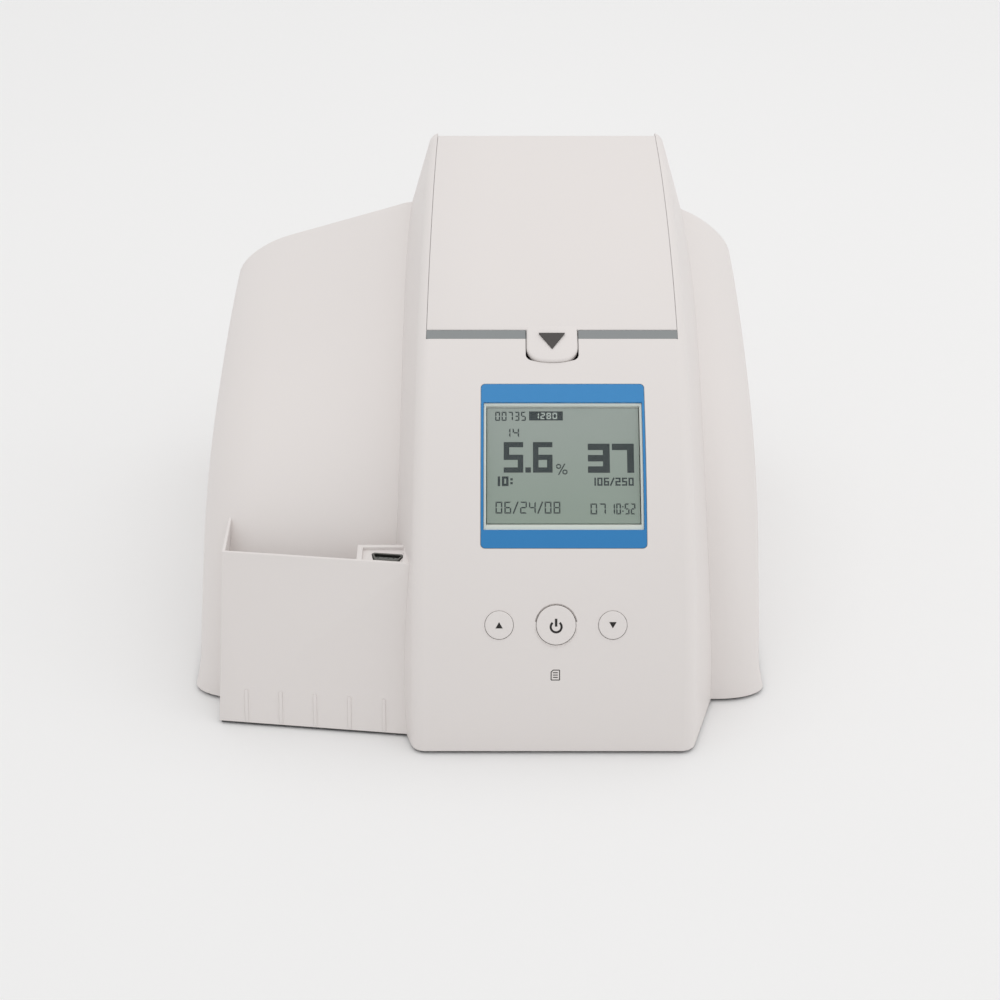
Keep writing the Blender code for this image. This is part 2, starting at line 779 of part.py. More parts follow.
def dock_outline_solid(name, grow, low, high, material=None):
    bm = bmesh.new()
    turn = math.atan(BAY_TURN)

    def place(point, height):
        x = point[0] * math.cos(turn) + point[1] * math.sin(turn)
        run = point[1] * math.cos(turn) - point[0] * math.sin(turn)
        return world(DOCK_X + x, DOCK_RUN + run, height)

    extrude_outline(bm, dock_outline(grow), place, low, high)
    return add_object(name, bm, material)


def add_bay_ribs(shell):
    """Small upright ribs low on the bay's front wall."""
    room = BAY_RIGHT_X - BAY_RIB_FIRST_X - BAY_RIB_MARGIN / 2
    for index in range(int(room / BAY_RIB_PITCH) + 1):
        x = BAY_RIB_FIRST_X + BAY_RIB_PITCH * index
        half = BAY_RIB_WIDTH / 2
        stations = []
        for side_x in (x - half, x + half):
            pairs = []
            for height in (FLOOR_GAP + mm(0.4), BAY_RIB_HEIGHT):
                run = bay_front(side_x, height)
                outer = world(side_x, run - BAY_RIB_PROUD, height)
                pairs.append((outer, world(side_x, run + BAY_WALL / 2, height)))
            stations.append(pairs)
        fuse(shell, ladder_solid(f"bay_rib_{index + 1}", stations))


def cut_lid_opening(shell):
    """Open the tower's top from the face's upper edge to the back wall."""
    reach = TOWER.length_at_run(HINGE_RUN)
    stations = []
    for side in (-1, 1):
        pairs = []
        steps = 10
        for step in range(steps + 1):
            length = FACE_END + (reach - FACE_END) * step / steps
            t = TOWER.t_at_length(length)
            x = TOWER_X + side * seam_half_width(length, LID_SEAM)
            inner = TOWER.inset(t, WALL + mm(2.5))
            outer = TOWER.inset(t, -mm(4))
            pairs.append((world(x, inner.x, inner.y), world(x, outer.x, outer.y)))
        x = TOWER_X + side * (LID_BACK_HALF_WIDTH + LID_SEAM)
        ledge = hinge_axis().y + mm(0.5)
        pairs.append((world(x, BODY_DEPTH + mm(3), ledge), world(x, BODY_DEPTH + mm(3), TOWER_HEIGHT + mm(4))))
        stations.append(pairs)
    opening = ladder_solid("lid_opening", stations)
    notch_outline = tongue_outline(
        TAB_HALF_WIDTH + TAB_GAP, TAB_TIP - TAB_GAP * 2, LID_START + mm(1), TAB_CORNER - mm(1), TAB_BULGE)
    notch = face_plate("tab_notch", notch_outline, -mm(2), WALL + mm(2))
    return cut(shell, opening, notch)


def cut_display(shell):
    half = BEZEL_WIDTH / 2 + FIT / 2
    recess = face_plate(
        "bezel_recess",
        rounded_rectangle(
            (DISPLAY_X - half, BEZEL_START - FIT / 2), (DISPLAY_X + half, BEZEL_END + FIT / 2), BEZEL_CORNER),
        -mm(2), BEZEL_THICKNESS + FIT / 2)
    low, high, half = frame_lip_size(FIT)
    opening = face_block(
        "display_opening", (DISPLAY_X - half, DISPLAY_X + half), (low, high), (-mm(2), WALL + mm(2)))
    return cut(shell, recess, opening)


def frame_lip_size(grow):
    """Start, end and half width of the display frame's lip."""
    return VIEW_START - FRAME_LIP - grow, VIEW_END + FRAME_LIP + grow, VIEW_WIDTH / 2 + FRAME_LIP + grow


def button_table():
    return (
        ("up", BUTTON_UP_X, SIDE_BUTTON_RADIUS),
        ("mode", BUTTON_MODE_X, MODE_BUTTON_RADIUS),
        ("down", BUTTON_DOWN_X, SIDE_BUTTON_RADIUS))


def cut_buttons(shell):
    for name, x, radius in button_table():
        frame = face_frame(x, BUTTON_ROW)
        hole = rod(
            "hole_" + name, radius + BUTTON_GAP, (0, 0, -WALL - mm(1)), (0, 0, mm(2)),
            segments=32, frame=frame)
        cut(shell, hole)
    bm = bmesh.new()
    bmesh.ops.create_cone(
        bm, cap_ends=True, segments=40, depth=mm(4),
        radius1=MODE_BUTTON_RADIUS + BUTTON_GAP + ARC_SLOT_WIDTH,
        radius2=MODE_BUTTON_RADIUS + BUTTON_GAP + ARC_SLOT_WIDTH)
    cut_result = bmesh.ops.bisect_plane(
        bm, geom=bm.verts[:] + bm.edges[:] + bm.faces[:], plane_co=(0, mm(1), 0), plane_no=(0, 1, 0),
        clear_inner=True)
    edges = [item for item in cut_result["geom_cut"] if isinstance(item, bmesh.types.BMEdge)]
    bmesh.ops.contextual_create(bm, geom=edges)
    bmesh.ops.translate(bm, vec=(0, 0, mm(1)), verts=bm.verts)
    bmesh.ops.transform(bm, matrix=face_frame(BUTTON_MODE_X, BUTTON_ROW), verts=bm.verts)
    return cut(shell, add_object("mode_arc_slot", bm))


def screw_places():
    """(x, run) of the case screws: four at the side walls and two behind the tower's foot."""
    side = BODY_HALF_WIDTH - SKIRT_FLARE - WALL - BOSS_RADIUS + BOSS_SINK
    front = WING_SETBACK + SCREW_FRONT_SET_IN
    back = BODY_DEPTH - SCREW_BACK_SET_IN
    return (
        (-side, front), (-side, back), (side, front), (side, back),
        (TOWER_X - FRONT_SCREW_SPREAD, FRONT_SCREW_RUN), (TOWER_X + FRONT_SCREW_SPREAD, FRONT_SCREW_RUN))


def add_bosses(shell):
    """Screw bosses standing on the bottom cover and fused to the walls."""
    start = FLOOR_GAP + COVER_THICKNESS + FIT
    for index, (x, run) in enumerate(screw_places()):
        at_wall = run > WING_SETBACK
        height, radius = (BOSS_HEIGHT, BOSS_RADIUS) if at_wall else (FRONT_BOSS_HEIGHT, FRONT_BOSS_RADIUS)
        boss = rod(f"boss_{index + 1}", radius, world(x, run, start), world(x, run, start + height), segments=16)
        bore = rod(
            f"boss_bore_{index + 1}", SCREW_RADIUS + FIT,
            world(x, run, start - mm(1)), world(x, run, start + SCREW_LENGTH), segments=12)
        fuse(shell, boss)
        cut(shell, bore)


def add_hinge_ears(shell):
    """Bosses on the inner side walls that hold the ends of the hinge pin."""
    axis = hinge_axis()
    inner = LID_BACK_HALF_WIDTH + LID_SEAM
    outer = TOWER_HALF_WIDTH * taper_at(HINGE_RUN) + HINGE_EAR_PROUD
    for side, label in ((-1, "left"), (1, "right")):
        start = world(TOWER_X + side * inner, axis.x, axis.y - HINGE_EAR_DROP)
        end = world(TOWER_X + side * outer, axis.x, axis.y - HINGE_EAR_DROP)
        fuse(shell, rod("hinge_ear_" + label, HINGE_EAR_RADIUS, start, end, segments=24))
        start = world(TOWER_X + side * (inner - mm(2)), axis.x, axis.y)
        end = world(TOWER_X + side * (pin_half_length() + FIT), axis.x, axis.y)
        cut(shell, rod("pin_bore_" + label, HINGE_PIN_RADIUS + FIT / 2, start, end, segments=24))


def pin_half_length():
    return TOWER_HALF_WIDTH * taper_at(HINGE_RUN) - HINGE_PIN_SET_IN


def cut_sockets(shell):
    back = (BODY_DEPTH - mm(8), BODY_DEPTH + mm(3))
    for name, x, size in (("jack", JACK_X, JACK_SIZE), ("port", PORT_X, PORT_SIZE)):
        low = socket_base() - FIT
        half = size[0] / 2 + FIT
        cut(shell, run_box("window_" + name, (x - half, x + half), back, (low, low + size[2] + 2 * FIT)))


def socket_base():
    """Height of the main board's top face, where the rear sockets stand."""
    return MAIN_BOARD_HEIGHT + BOARD_THICKNESS + FIT


def make_upper_housing(material):
    shell = make_shell("upper_housing", material)
    cut_shelf(shell)
    add_bay_ribs(shell)
    cut_lid_opening(shell)
    cut_display(shell)
    cut_buttons(shell)
    add_bosses(shell)
    add_hinge_ears(shell)
    add_key_posts(shell)
    cut_sockets(shell)


def make_bottom_cover(material, rubber, steel):
    plan = (WALL + FIT, HOLLOW_BASE, INNER_LEVELS, INNER_ARC_STEPS)
    cover = ladder_solid("bottom_cover", wing_stations(*plan), material)
    fuse(cover, ladder_solid("cover_tower_part", tower_stations(*plan)))
    low = FLOOR_GAP
    slab = run_box("cover_slab", (-BODY_HALF_WIDTH, BODY_HALF_WIDTH), (0, BODY_DEPTH), (low, low + COVER_THICKNESS))
    combine(cover, slab, "INTERSECT")
    for index, (x, run) in enumerate(pad_places()):
        recess = rod(
            f"pad_recess_{index + 1}", PAD_RADIUS + FIT, world(x, run, -mm(1)),
            world(x, run, PAD_HEIGHT + FIT), segments=24)
        cut(cover, recess)
        pad = rod(
            f"rubber_foot_{index + 1}", PAD_RADIUS, world(x, run, 0), world(x, run, PAD_HEIGHT),
            rubber, segments=24)
        round_edges(pad, mm(0.3), 1)
    for index, (x, run) in enumerate(screw_places()):
        make_screw(cover, index, x, run, steel)
    add_posts(cover)
    return cover


def pad_places():
    side = BODY_HALF_WIDTH - PAD_SIDE_SET_IN
    front = WING_SETBACK + PAD_FRONT_SET_IN
    back = BODY_DEPTH - PAD_BACK_SET_IN
    return (-side, front), (side, front), (-side, back), (side, back), (TOWER_X, TOWER_PAD_RUN)


def make_screw(cover, index, x, run, steel):
    """A case screw from below, its head sunk in the cover."""
    head_low = FLOOR_GAP + mm(0.2)
    head_top = head_low + SCREW_HEAD_HEIGHT
    sink = rod(
        f"screw_sink_{index + 1}", SCREW_HEAD_RADIUS + FIT, world(x, run, -mm(1)),
        world(x, run, head_top + FIT), segments=16)
    bore = rod(
        f"screw_bore_{index + 1}", SCREW_RADIUS + FIT, world(x, run, 0), world(x, run, mm(6)), segments=12)
    cut(cover, sink, bore)
    screw = rod(
        f"case_screw_{index + 1}", SCREW_HEAD_RADIUS, world(x, run, head_low), world(x, run, head_top),
        steel, segments=16)
    shank = rod(
        f"screw_shank_{index + 1}", SCREW_RADIUS, world(x, run, head_low + mm(0.3)),
        world(x, run, head_low + SCREW_LENGTH), segments=12)
    fuse(screw, shank)


def main_board_corners():
    """(x range, run range) of the main board, between the left wall, the chassis and the back wall."""
    right = DRUM_X - CHASSIS_HALF_WIDTH - MAIN_BOARD_CHASSIS_GAP
    back = BODY_DEPTH - MAIN_BOARD_FROM_BACK
    return (MAIN_BOARD_FROM_LEFT - BODY_HALF_WIDTH, right), (back - MAIN_BOARD_DEPTH, back)


def add_posts(cover):
    """Posts on the bottom cover that carry the main board."""
    xs, runs = main_board_corners()
    top = MAIN_BOARD_HEIGHT - FIT
    number = 0
    inset = BOARD_POST_SET_IN
    for x in (xs[0] + inset, xs[1] - inset):
        for run in (runs[0] + inset, runs[1] - inset):
            number += 1
            low = FLOOR_GAP + COVER_THICKNESS - mm(0.5)
            post = rod(f"board_post_{number}", BOARD_POST_RADIUS, world(x, run, low), world(x, run, top), segments=12)
            fuse(cover, post)


def make_lid(material, liner_material, steel):
    end = TOWER.length_at_run(HINGE_RUN)
    path = lid_path(LID_START, end, LID_THICKNESS, 16, 8)
    stations = []
    for side in (-1, 1):
        pairs = []
        for length, outer, inner in path:
            x = TOWER_X + side * seam_half_width(length, 0.0)
            pairs.append((world(x, outer.x, outer.y), world(x, inner.x, inner.y)))
        stations.append(pairs)
    lid = ladder_solid("lid", stations, material)
    tab = face_plate(
        "lid_tab", tongue_outline(TAB_HALF_WIDTH, TAB_TIP, LID_START + mm(2), TAB_CORNER, TAB_BULGE),
        0.0, LID_THICKNESS)
    fuse(lid, tab)
    axis = hinge_axis()
    for side, label in ((-1, "left"), (1, "right")):
        outer_x = TOWER_X + side * LID_BACK_HALF_WIDTH
        inner_x = outer_x - side * HINGE_CHEEK
        cheek = rod(
            "lid_cheek_" + label, CROWN_RADIUS - LID_THICKNESS / 2,
            world(outer_x, axis.x, axis.y), world(inner_x, axis.x, axis.y), segments=28)
        fuse(lid, cheek)
    bore = rod(
        "lid_pin_bore", HINGE_PIN_RADIUS + FIT / 2, world(TOWER_X - TOWER_HALF_WIDTH, axis.x, axis.y),
        world(TOWER_X + TOWER_HALF_WIDTH, axis.x, axis.y), segments=24)
    cut(lid, bore)
    set_origin(lid, world(TOWER_X, axis.x, axis.y))
    half = pin_half_length()
    rod(
        "hinge_pin", HINGE_PIN_RADIUS, world(TOWER_X - half, axis.x, axis.y),
        world(TOWER_X + half, axis.x, axis.y), steel, segments=24)
    make_lid_liner(liner_material)


def make_lid_liner(material):
    """Inner panel of the lid with the pad that keeps a cartridge in its slot."""
    top = LID_THICKNESS + FIT
    bottom = top + LINER_THICKNESS
    half = DECK_WELL_HALF_WIDTH - LINER_SET_IN
    start = LID_START + DECK_FRONT_LEDGE + mm(3)
    end = TOWER.length_at_run(DECK_END_RUN) - mm(4)
    liner = face_block("lid_liner", (TOWER_X - half, TOWER_X + half), (start, end), (top, bottom), material)
    middle = TOWER.length_at_run(DRUM_RUN)
    pad = face_block(
        "liner_pad", (DRUM_X - LINER_PAD_HALF_WIDTH, DRUM_X + LINER_PAD_HALF_WIDTH),
        (middle - LINER_PAD_HALF_LENGTH, middle + LINER_PAD_HALF_LENGTH),
        (bottom - mm(0.4), bottom + LINER_PAD_DEPTH))
    fuse(liner, pad)
    axis = hinge_axis()
    set_origin(liner, world(TOWER_X, axis.x, axis.y))


def set_origin(obj, point):
    """Move an object's origin without moving its mesh."""
    obj.data.transform(Matrix.Translation(-point))
    obj.location = point


def deck_flange_half(length):
    """Half width of the deck's flange, just inside the tapering tower."""
    run = TOWER.at(TOWER.t_at_length(length)).x
    return TOWER_HALF_WIDTH * taper_at(run) - DECK_FLANGE_SET_IN


def drum_window_reach():
    """Half length of the deck's window, clear of the drum where it meets the well's sloping floor."""
    low = TOWER.inset(TOWER.t_at_length(TOWER.length_at_run(DRUM_RUN - DRUM_RADIUS)), DECK_WELL_DEPTH + DECK_THICKNESS)
    rise = min(max(low.y - DRUM_HEIGHT, 0.0), DRUM_RADIUS)
    return math.sqrt((DRUM_RADIUS + DRUM_CLEARANCE) ** 2 - rise ** 2)


def make_deck(material):
    """Grey tray under the lid; its front lip shows as a band below the lid."""
    half = seam_half_width(FACE_END, 0.0) - FIT
    lip_start = FACE_END + FIT
    lip_end = LID_START - FIT
    ledge_low = DECK_LEDGE_DEPTH + DECK_THICKNESS
    well_start = LID_START + DECK_FRONT_LEDGE
    well_end = TOWER.length_at_run(DECK_END_RUN)
    well = DECK_WELL_HALF_WIDTH
    flange_ends = (lip_end - mm(1), well_end - mm(3))
    front, back = [deck_flange_half(length) for length in flange_ends]
    outline = [
        (TOWER_X - front, flange_ends[0]), (TOWER_X + front, flange_ends[0]),
        (TOWER_X + back, flange_ends[1]), (TOWER_X - back, flange_ends[1])]
    deck = face_plate("deck", outline, DECK_LEDGE_DEPTH, ledge_low, material)
    lip = face_block(
        "deck_lip", (TOWER_X - half, TOWER_X + half), (lip_start, lip_end),
        (DECK_LIP_SINK, ledge_low - mm(0.5)))
    tub = face_block(
        "deck_tub", (TOWER_X - well, TOWER_X + well), (well_start - DECK_THICKNESS, well_end),
        (DECK_LEDGE_DEPTH + mm(0.6), DECK_WELL_DEPTH + DECK_THICKNESS))
    inner = well - DECK_THICKNESS
    space = face_block(
        "deck_well", (TOWER_X - inner, TOWER_X + inner), (well_start, well_end - DECK_THICKNESS),
        (DECK_LEDGE_DEPTH - mm(1), DECK_WELL_DEPTH))
    fuse(deck, lip, tub)
    cut(deck, space)
    notch_half = TAB_HALF_WIDTH + TAB_GAP
    notch = face_block(
        "deck_tab_notch", (TOWER_X - notch_half, TOWER_X + notch_half), (FACE_END - mm(1), LID_START + mm(1)),
        (-mm(1), LID_THICKNESS + mm(0.6)))
    half_x = DRUM_WIDTH / 2 + DRUM_CLEARANCE
    gear_side = DRUM_WIDTH / 2 + GEAR_WIDTH + mm(1.5)
    reach = drum_window_reach()
    window = run_box(
        "deck_drum_window", (DRUM_X - half_x, DRUM_X + gear_side), (DRUM_RUN - reach, DRUM_RUN + reach),
        (DRUM_HEIGHT, DRUM_HEIGHT + DRUM_RADIUS + mm(4)))
    cut(deck, notch, window)


def make_drum(material, gear_material, steel):
    """Cartridge drum with its radial slot, gear and axle."""
    low_x = DRUM_X - DRUM_WIDTH / 2
    high_x = DRUM_X + DRUM_WIDTH / 2
    drum = rod(
        "cartridge_drum", DRUM_RADIUS, world(low_x, DRUM_RUN, DRUM_HEIGHT),
        world(high_x, DRUM_RUN, DRUM_HEIGHT), material, segments=48)
    slot = run_box(
        "drum_slot", (DRUM_X - SLOT_LENGTH / 2, DRUM_X + SLOT_LENGTH / 2),
        (DRUM_RUN - SLOT_WIDTH / 2, DRUM_RUN + SLOT_WIDTH / 2),
        (DRUM_HEIGHT + AXLE_RADIUS + SLOT_FLOOR, DRUM_HEIGHT + DRUM_RADIUS + mm(3)))
    bore = rod(
        "drum_bore", AXLE_RADIUS + FIT / 2, world(low_x - mm(1), DRUM_RUN, DRUM_HEIGHT),
        world(high_x + mm(1), DRUM_RUN, DRUM_HEIGHT), segments=24)
    cut(drum, slot, bore)
    set_origin(drum, world(DRUM_X, DRUM_RUN, DRUM_HEIGHT))
    gear_low = high_x + FIT
    centre = Vector((DRUM_RUN, DRUM_HEIGHT))
    outline = gear_outline(DRUM_TEETH, PINION_DIRECTION, GEAR_BACKLASH)
    gear = gear_solid("drum_gear", outline, (gear_low, gear_low + GEAR_WIDTH), centre, gear_material)
    gear_bore = rod(
        "gear_bore", AXLE_RADIUS + FIT / 2, world(gear_low - mm(1), DRUM_RUN, DRUM_HEIGHT),
        world(gear_low + GEAR_WIDTH + mm(1), DRUM_RUN, DRUM_HEIGHT), segments=24)
    cut(gear, gear_bore)
    set_origin(gear, world(DRUM_X, DRUM_RUN, DRUM_HEIGHT))
    half = CHASSIS_HALF_WIDTH + mm(1.5)
    axle = rod(
        "drum_axle", AXLE_RADIUS, world(DRUM_X - half, DRUM_RUN, DRUM_HEIGHT),
        world(DRUM_X + half, DRUM_RUN, DRUM_HEIGHT), steel, segments=24)
    set_origin(axle, world(DRUM_X, DRUM_RUN, DRUM_HEIGHT))


def pinion_centre():
    distance = GEAR_MODULE * (DRUM_TEETH + PINION_TEETH) / 2
    ray = Vector((math.cos(PINION_DIRECTION), math.sin(PINION_DIRECTION)))
    return Vector((DRUM_RUN, DRUM_HEIGHT)) + ray * distance


def make_drive(gear_material, motor_material, steel):
    """Motor outside the chassis, its shaft and the pinion on it."""
    centre = pinion_centre()
    phase = PINION_DIRECTION + math.pi + math.pi / PINION_TEETH
    low = DRUM_X + DRUM_WIDTH / 2 + FIT
    pinion = gear_solid(
        "pinion", gear_outline(PINION_TEETH, phase, GEAR_BACKLASH), (low, low + GEAR_WIDTH), centre,
        gear_material)
    bore = rod(
        "pinion_bore", PINION_BORE + FIT / 2, world(low - mm(1), *centre), world(low + GEAR_WIDTH + mm(1), *centre),
        segments=16)
    cut(pinion, bore)
    set_origin(pinion, world(low, *centre))
    wall = DRUM_X + CHASSIS_HALF_WIDTH
    motor = rod(
        "drive_motor", MOTOR_RADIUS, world(wall + FIT, *centre), world(wall + FIT + MOTOR_LENGTH, *centre),
        motor_material, segments=32)
    round_edges(motor, mm(0.6), 1)
    shaft_bore = rod(
        "motor_bore", PINION_BORE + FIT, world(wall - mm(1), *centre), world(wall + mm(8), *centre), segments=16)
    cut(motor, shaft_bore)
    shaft = rod(
        "motor_shaft", PINION_BORE, world(low + mm(0.2), *centre), world(wall + mm(7), *centre), steel, segments=16)
    set_origin(shaft, world(low, *centre))


def make_chassis(material):
    """Steel U-frame on the bottom cover that holds the drum, motor and optics."""
    low = FLOOR_GAP + COVER_THICKNESS + FIT
    runs = (DRUM_RUN - CHASSIS_HALF_DEPTH, DRUM_RUN + CHASSIS_HALF_DEPTH)
    half = CHASSIS_HALF_WIDTH
    chassis = run_box("chassis", (DRUM_X - half, DRUM_X + half), runs, (low, low + SHEET), material)
    for side, label in ((-1, "left"), (1, "right")):
        inner = DRUM_X + side * (half - SHEET)
        outer = DRUM_X + side * half
        wall = run_box("chassis_wall_" + label, sorted((inner, outer)), runs, (low, DRUM_HEIGHT + CHASSIS_ABOVE_AXLE))
        bore = rod(
            "chassis_bore_" + label, AXLE_RADIUS + FIT / 2,
            world(inner - side * mm(1), DRUM_RUN, DRUM_HEIGHT),
            world(outer + side * mm(1), DRUM_RUN, DRUM_HEIGHT), segments=24)
        fuse(chassis, wall)
        cut(chassis, bore)
    web_top = OPTICS_TOP - OPTICS_SIZE[2] - FIT
    web = run_box(
        "chassis_web", (DRUM_X - half + SHEET / 2, DRUM_X + half - SHEET / 2),
        (runs[0] + mm(8), runs[1] - mm(8)), (web_top - SHEET, web_top))
    fuse(chassis, web)
    centre = pinion_centre()
    shaft_hole = rod(
        "chassis_shaft_hole", PINION_BORE + mm(1), world(DRUM_X + half - SHEET - mm(1), *centre),
        world(DRUM_X + half + mm(1), *centre), segments=20)
    lightening = run_box(
        "chassis_lightening", (DRUM_X - half - mm(1), DRUM_X + half + mm(1)),
        (runs[0] + mm(12), runs[1] - mm(12)), (low + mm(12), web_top - mm(10)))
    cut(chassis, shaft_hole, lightening)


def make_optics(material, lens_material):
    """Sealed optical reader under the drum."""
    half = [size / 2 for size in OPTICS_SIZE]
    low = OPTICS_TOP - OPTICS_SIZE[2]
    reader = run_box(
        "optical_reader", (DRUM_X - half[0], DRUM_X + half[0]), (DRUM_RUN - half[1], DRUM_RUN + half[1]),
        (low, OPTICS_TOP), material)
    hole = rod(
        "reader_hole", LENS_RADIUS + FIT / 2, world(DRUM_X, DRUM_RUN, OPTICS_TOP - mm(4)),
        world(DRUM_X, DRUM_RUN, OPTICS_TOP + mm(1)), segments=24)
    cut(reader, hole)
    rod(
        "reader_lens", LENS_RADIUS, world(DRUM_X, DRUM_RUN, OPTICS_TOP - mm(3.7)),
        world(DRUM_X, DRUM_RUN, OPTICS_TOP - mm(0.5)), lens_material, segments=24)


def make_display(blue, clear, white, glass, board):
    half = BEZEL_WIDTH / 2
    bezel = face_plate(
        "display_bezel",
        rounded_rectangle((DISPLAY_X - half, BEZEL_START), (DISPLAY_X + half, BEZEL_END), BEZEL_CORNER),
        0.0, BEZEL_THICKNESS, blue)
    window_half = WINDOW_WIDTH / 2
    hole = face_block(
        "bezel_window", (DISPLAY_X - window_half, DISPLAY_X + window_half), (WINDOW_START, WINDOW_END),
        (-mm(1), BEZEL_THICKNESS + mm(1)))
    cut(bezel, hole)
    pane = window_half - FIT / 3
    face_block(
        "display_window", (DISPLAY_X - pane, DISPLAY_X + pane), (WINDOW_START + FIT / 3, WINDOW_END - FIT / 3),
        (mm(0.05), BEZEL_THICKNESS), clear)
    make_display_frame(white)
    middle = (VIEW_START + VIEW_END) / 2
    frame = face_frame(DISPLAY_X, middle)
    half_length = view_half_length(frame) - FIT
    half_width = VIEW_WIDTH / 2 - FIT
    top = lcd_top(frame, half_length)
    box(
        "lcd_panel", (-half_width, -half_length, top - LCD_THICKNESS), (half_width, half_length, top),
        glass, frame)
    board_half = half_length + mm(7)
    board_top = lowest_corner(frame, board_half, frame_bottom_depth()) - FIT
    display_board = box(
        "display_board", (-half_width - mm(2), -board_half, board_top - BOARD_THICKNESS),
        (half_width + mm(2), board_half, board_top), board, frame)
    chip = box(
        "display_chip", (-mm(12), -mm(6), board_top - BOARD_THICKNESS - mm(2.2)),
        (mm(4), mm(8), board_top - mm(0.4)), None, frame)
    fuse(display_board, chip)


def view_half_length(frame):
    """Half height of the display's view, measured flat at the back of its frame."""
    reach = []
    for length in (VIEW_START, VIEW_END):
        reach.append(abs((frame.inverted() @ face_point(DISPLAY_X, length, frame_bottom_depth())).y))
    return min(reach)


def frame_bottom_depth():
    return WALL + FIT + FRAME_FLANGE_THICKNESS


def lcd_top(frame, half_length):
    """Height of the flat panel in its frame so that its ends just clear the window."""
    return lowest_corner(frame, half_length, BEZEL_THICKNESS) - FIT


def lowest_corner(frame, reach, depth):
    """Lowest local height of a curved layer at both ends of a flat panel."""
    middle = (VIEW_START + VIEW_END) / 2
    heights = []
    for length in (middle - reach, middle + reach):
        heights.append((frame.inverted() @ face_point(DISPLAY_X, length, depth)).z)
    return min(heights)


def make_display_frame(material):
    low, high, half = frame_lip_size(0.0)
    flange = FRAME_FLANGE
    frame = face_block(
        "lcd_frame", (DISPLAY_X - half, DISPLAY_X + half), (low, high),
        (BEZEL_THICKNESS + FIT, frame_bottom_depth()), material)
    flange_top = WALL + FIT
    skirt = face_block(
        "lcd_frame_flange", (DISPLAY_X - half - flange, DISPLAY_X + half + flange),
        (low - flange, high + flange), (flange_top, frame_bottom_depth()))
    fuse(frame, skirt)
    flat = face_frame(DISPLAY_X, (VIEW_START + VIEW_END) / 2)
    inner = VIEW_WIDTH / 2
    reach = view_half_length(flat)
    space = box("lcd_frame_window", (-inner, -reach, -mm(10)), (inner, reach, mm(2)), None, flat)
    cut(frame, space)


def key_dome_top():
    """Local height of the keypad domes, just past the buttons' travel."""
    return -(BUTTON_FLANGE_DEPTH + BUTTON_FLANGE_THICKNESS + BUTTON_TRAVEL + FIT / 2)


def key_board_top():
    return key_dome_top() - MAT_DOME_HEIGHT - MAT_THICKNESS - FIT


def key_mat_reach():
    """Half width of the keypad mat, from the middle button past an outer one."""
    return BUTTON_DOWN_X - BUTTON_MODE_X + SIDE_BUTTON_RADIUS + mm(4)


def add_key_posts(shell):
    """Posts behind the face that the key board is screwed to."""
    frame = face_frame(BUTTON_MODE_X, BUTTON_ROW)
    for side, label in ((-1, "left"), (1, "right")):
        x = side * (key_mat_reach() + KEY_POST_RADIUS + FIT)
        fuse(shell, rod(
            "key_post_" + label, KEY_POST_RADIUS, (x, 0, -WALL / 2), (x, 0, key_board_top() + FIT),
            segments=12, frame=frame))


def make_keys(cap_material, mat_material, board):
    flange_top = -BUTTON_FLANGE_DEPTH
    flange_low = flange_top - BUTTON_FLANGE_THICKNESS
    dome_top = key_dome_top()
    mat_top = dome_top - MAT_DOME_HEIGHT
    for name, x, radius in button_table():
        frame = face_frame(x, BUTTON_ROW)
        cap = rod(
            "button_" + name, radius, (0, 0, flange_top - mm(0.3)), (0, 0, BUTTON_PROUD), cap_material,
            segments=32, frame=frame)
        round_edges(cap, mm(0.25), 1)
        flange = rod(
            "flange_" + name, radius + BUTTON_FLANGE, (0, 0, flange_low), (0, 0, flange_top),
            segments=24, frame=frame)
        fuse(cap, flange)
        set_origin(cap, frame.translation)
    frame = face_frame(BUTTON_MODE_X, BUTTON_ROW)
    reach = key_mat_reach()
    mat = box(
        "keypad_mat", (-reach, -mm(9), mat_top - MAT_THICKNESS), (reach, mm(9), mat_top), mat_material, frame)
    for name, x, radius in button_table():
        offset = x - BUTTON_MODE_X
        dome = rod(
            "dome_" + name, radius - mm(0.5), (offset, 0, mat_top - mm(0.4)), (offset, 0, dome_top),
            segments=16, frame=frame, tip_radius=radius - mm(1.6))
        fuse(mat, dome)
    board_top = key_board_top()
    box(
        "key_board", (-reach - mm(3), -mm(11), board_top - BOARD_THICKNESS), (reach + mm(3), mm(11), board_top),
        board, frame)


def make_dock(shell_material, insert_material, board):
    """Docking connector that faces up in the shelf."""
    floor = BAY_RIM_HEIGHT - SHELF_RECESS
    shell_top = floor + mm(0.4)
    shell_low = floor - DOCK_LENGTH
    shell = dock_outline_solid("dock_shell", 0.0, shell_low, shell_top, shell_material)
    cut(shell, dock_outline_solid("dock_cavity", -DOCK_SHEET, shell_low + mm(1), shell_top + mm(1)))
    insert = dock_outline_solid(
        "dock_insert", -2 * DOCK_SHEET, shell_low + mm(1) + FIT, shell_top - mm(0.8), insert_material)
    for index in range(8):
        row = -1 if index % 2 else 1
        x = DOCK_X - mm(3.0) + mm(0.86) * index
        tip = world(x, DOCK_RUN + row * mm(0.45) - (x - DOCK_X) * BAY_TURN, shell_top)
        foot = world(x, DOCK_RUN + row * mm(0.45) - (x - DOCK_X) * BAY_TURN, shell_top - mm(2.2))
        cut(insert, rod(f"contact_hole_{index + 1}", mm(0.24), foot, tip, segments=6))
    half = (SHELF_BACK_RUN - WALL - FIT) - mm(0.2)
    run_box(
        "dock_board", (SHELF_LEFT_X + WALL + mm(0.6), BAY_RIGHT_X - mm(2.2)),
        (half - mm(8.4), half), (shell_low - FIT - BOARD_THICKNESS, shell_low - FIT), board)


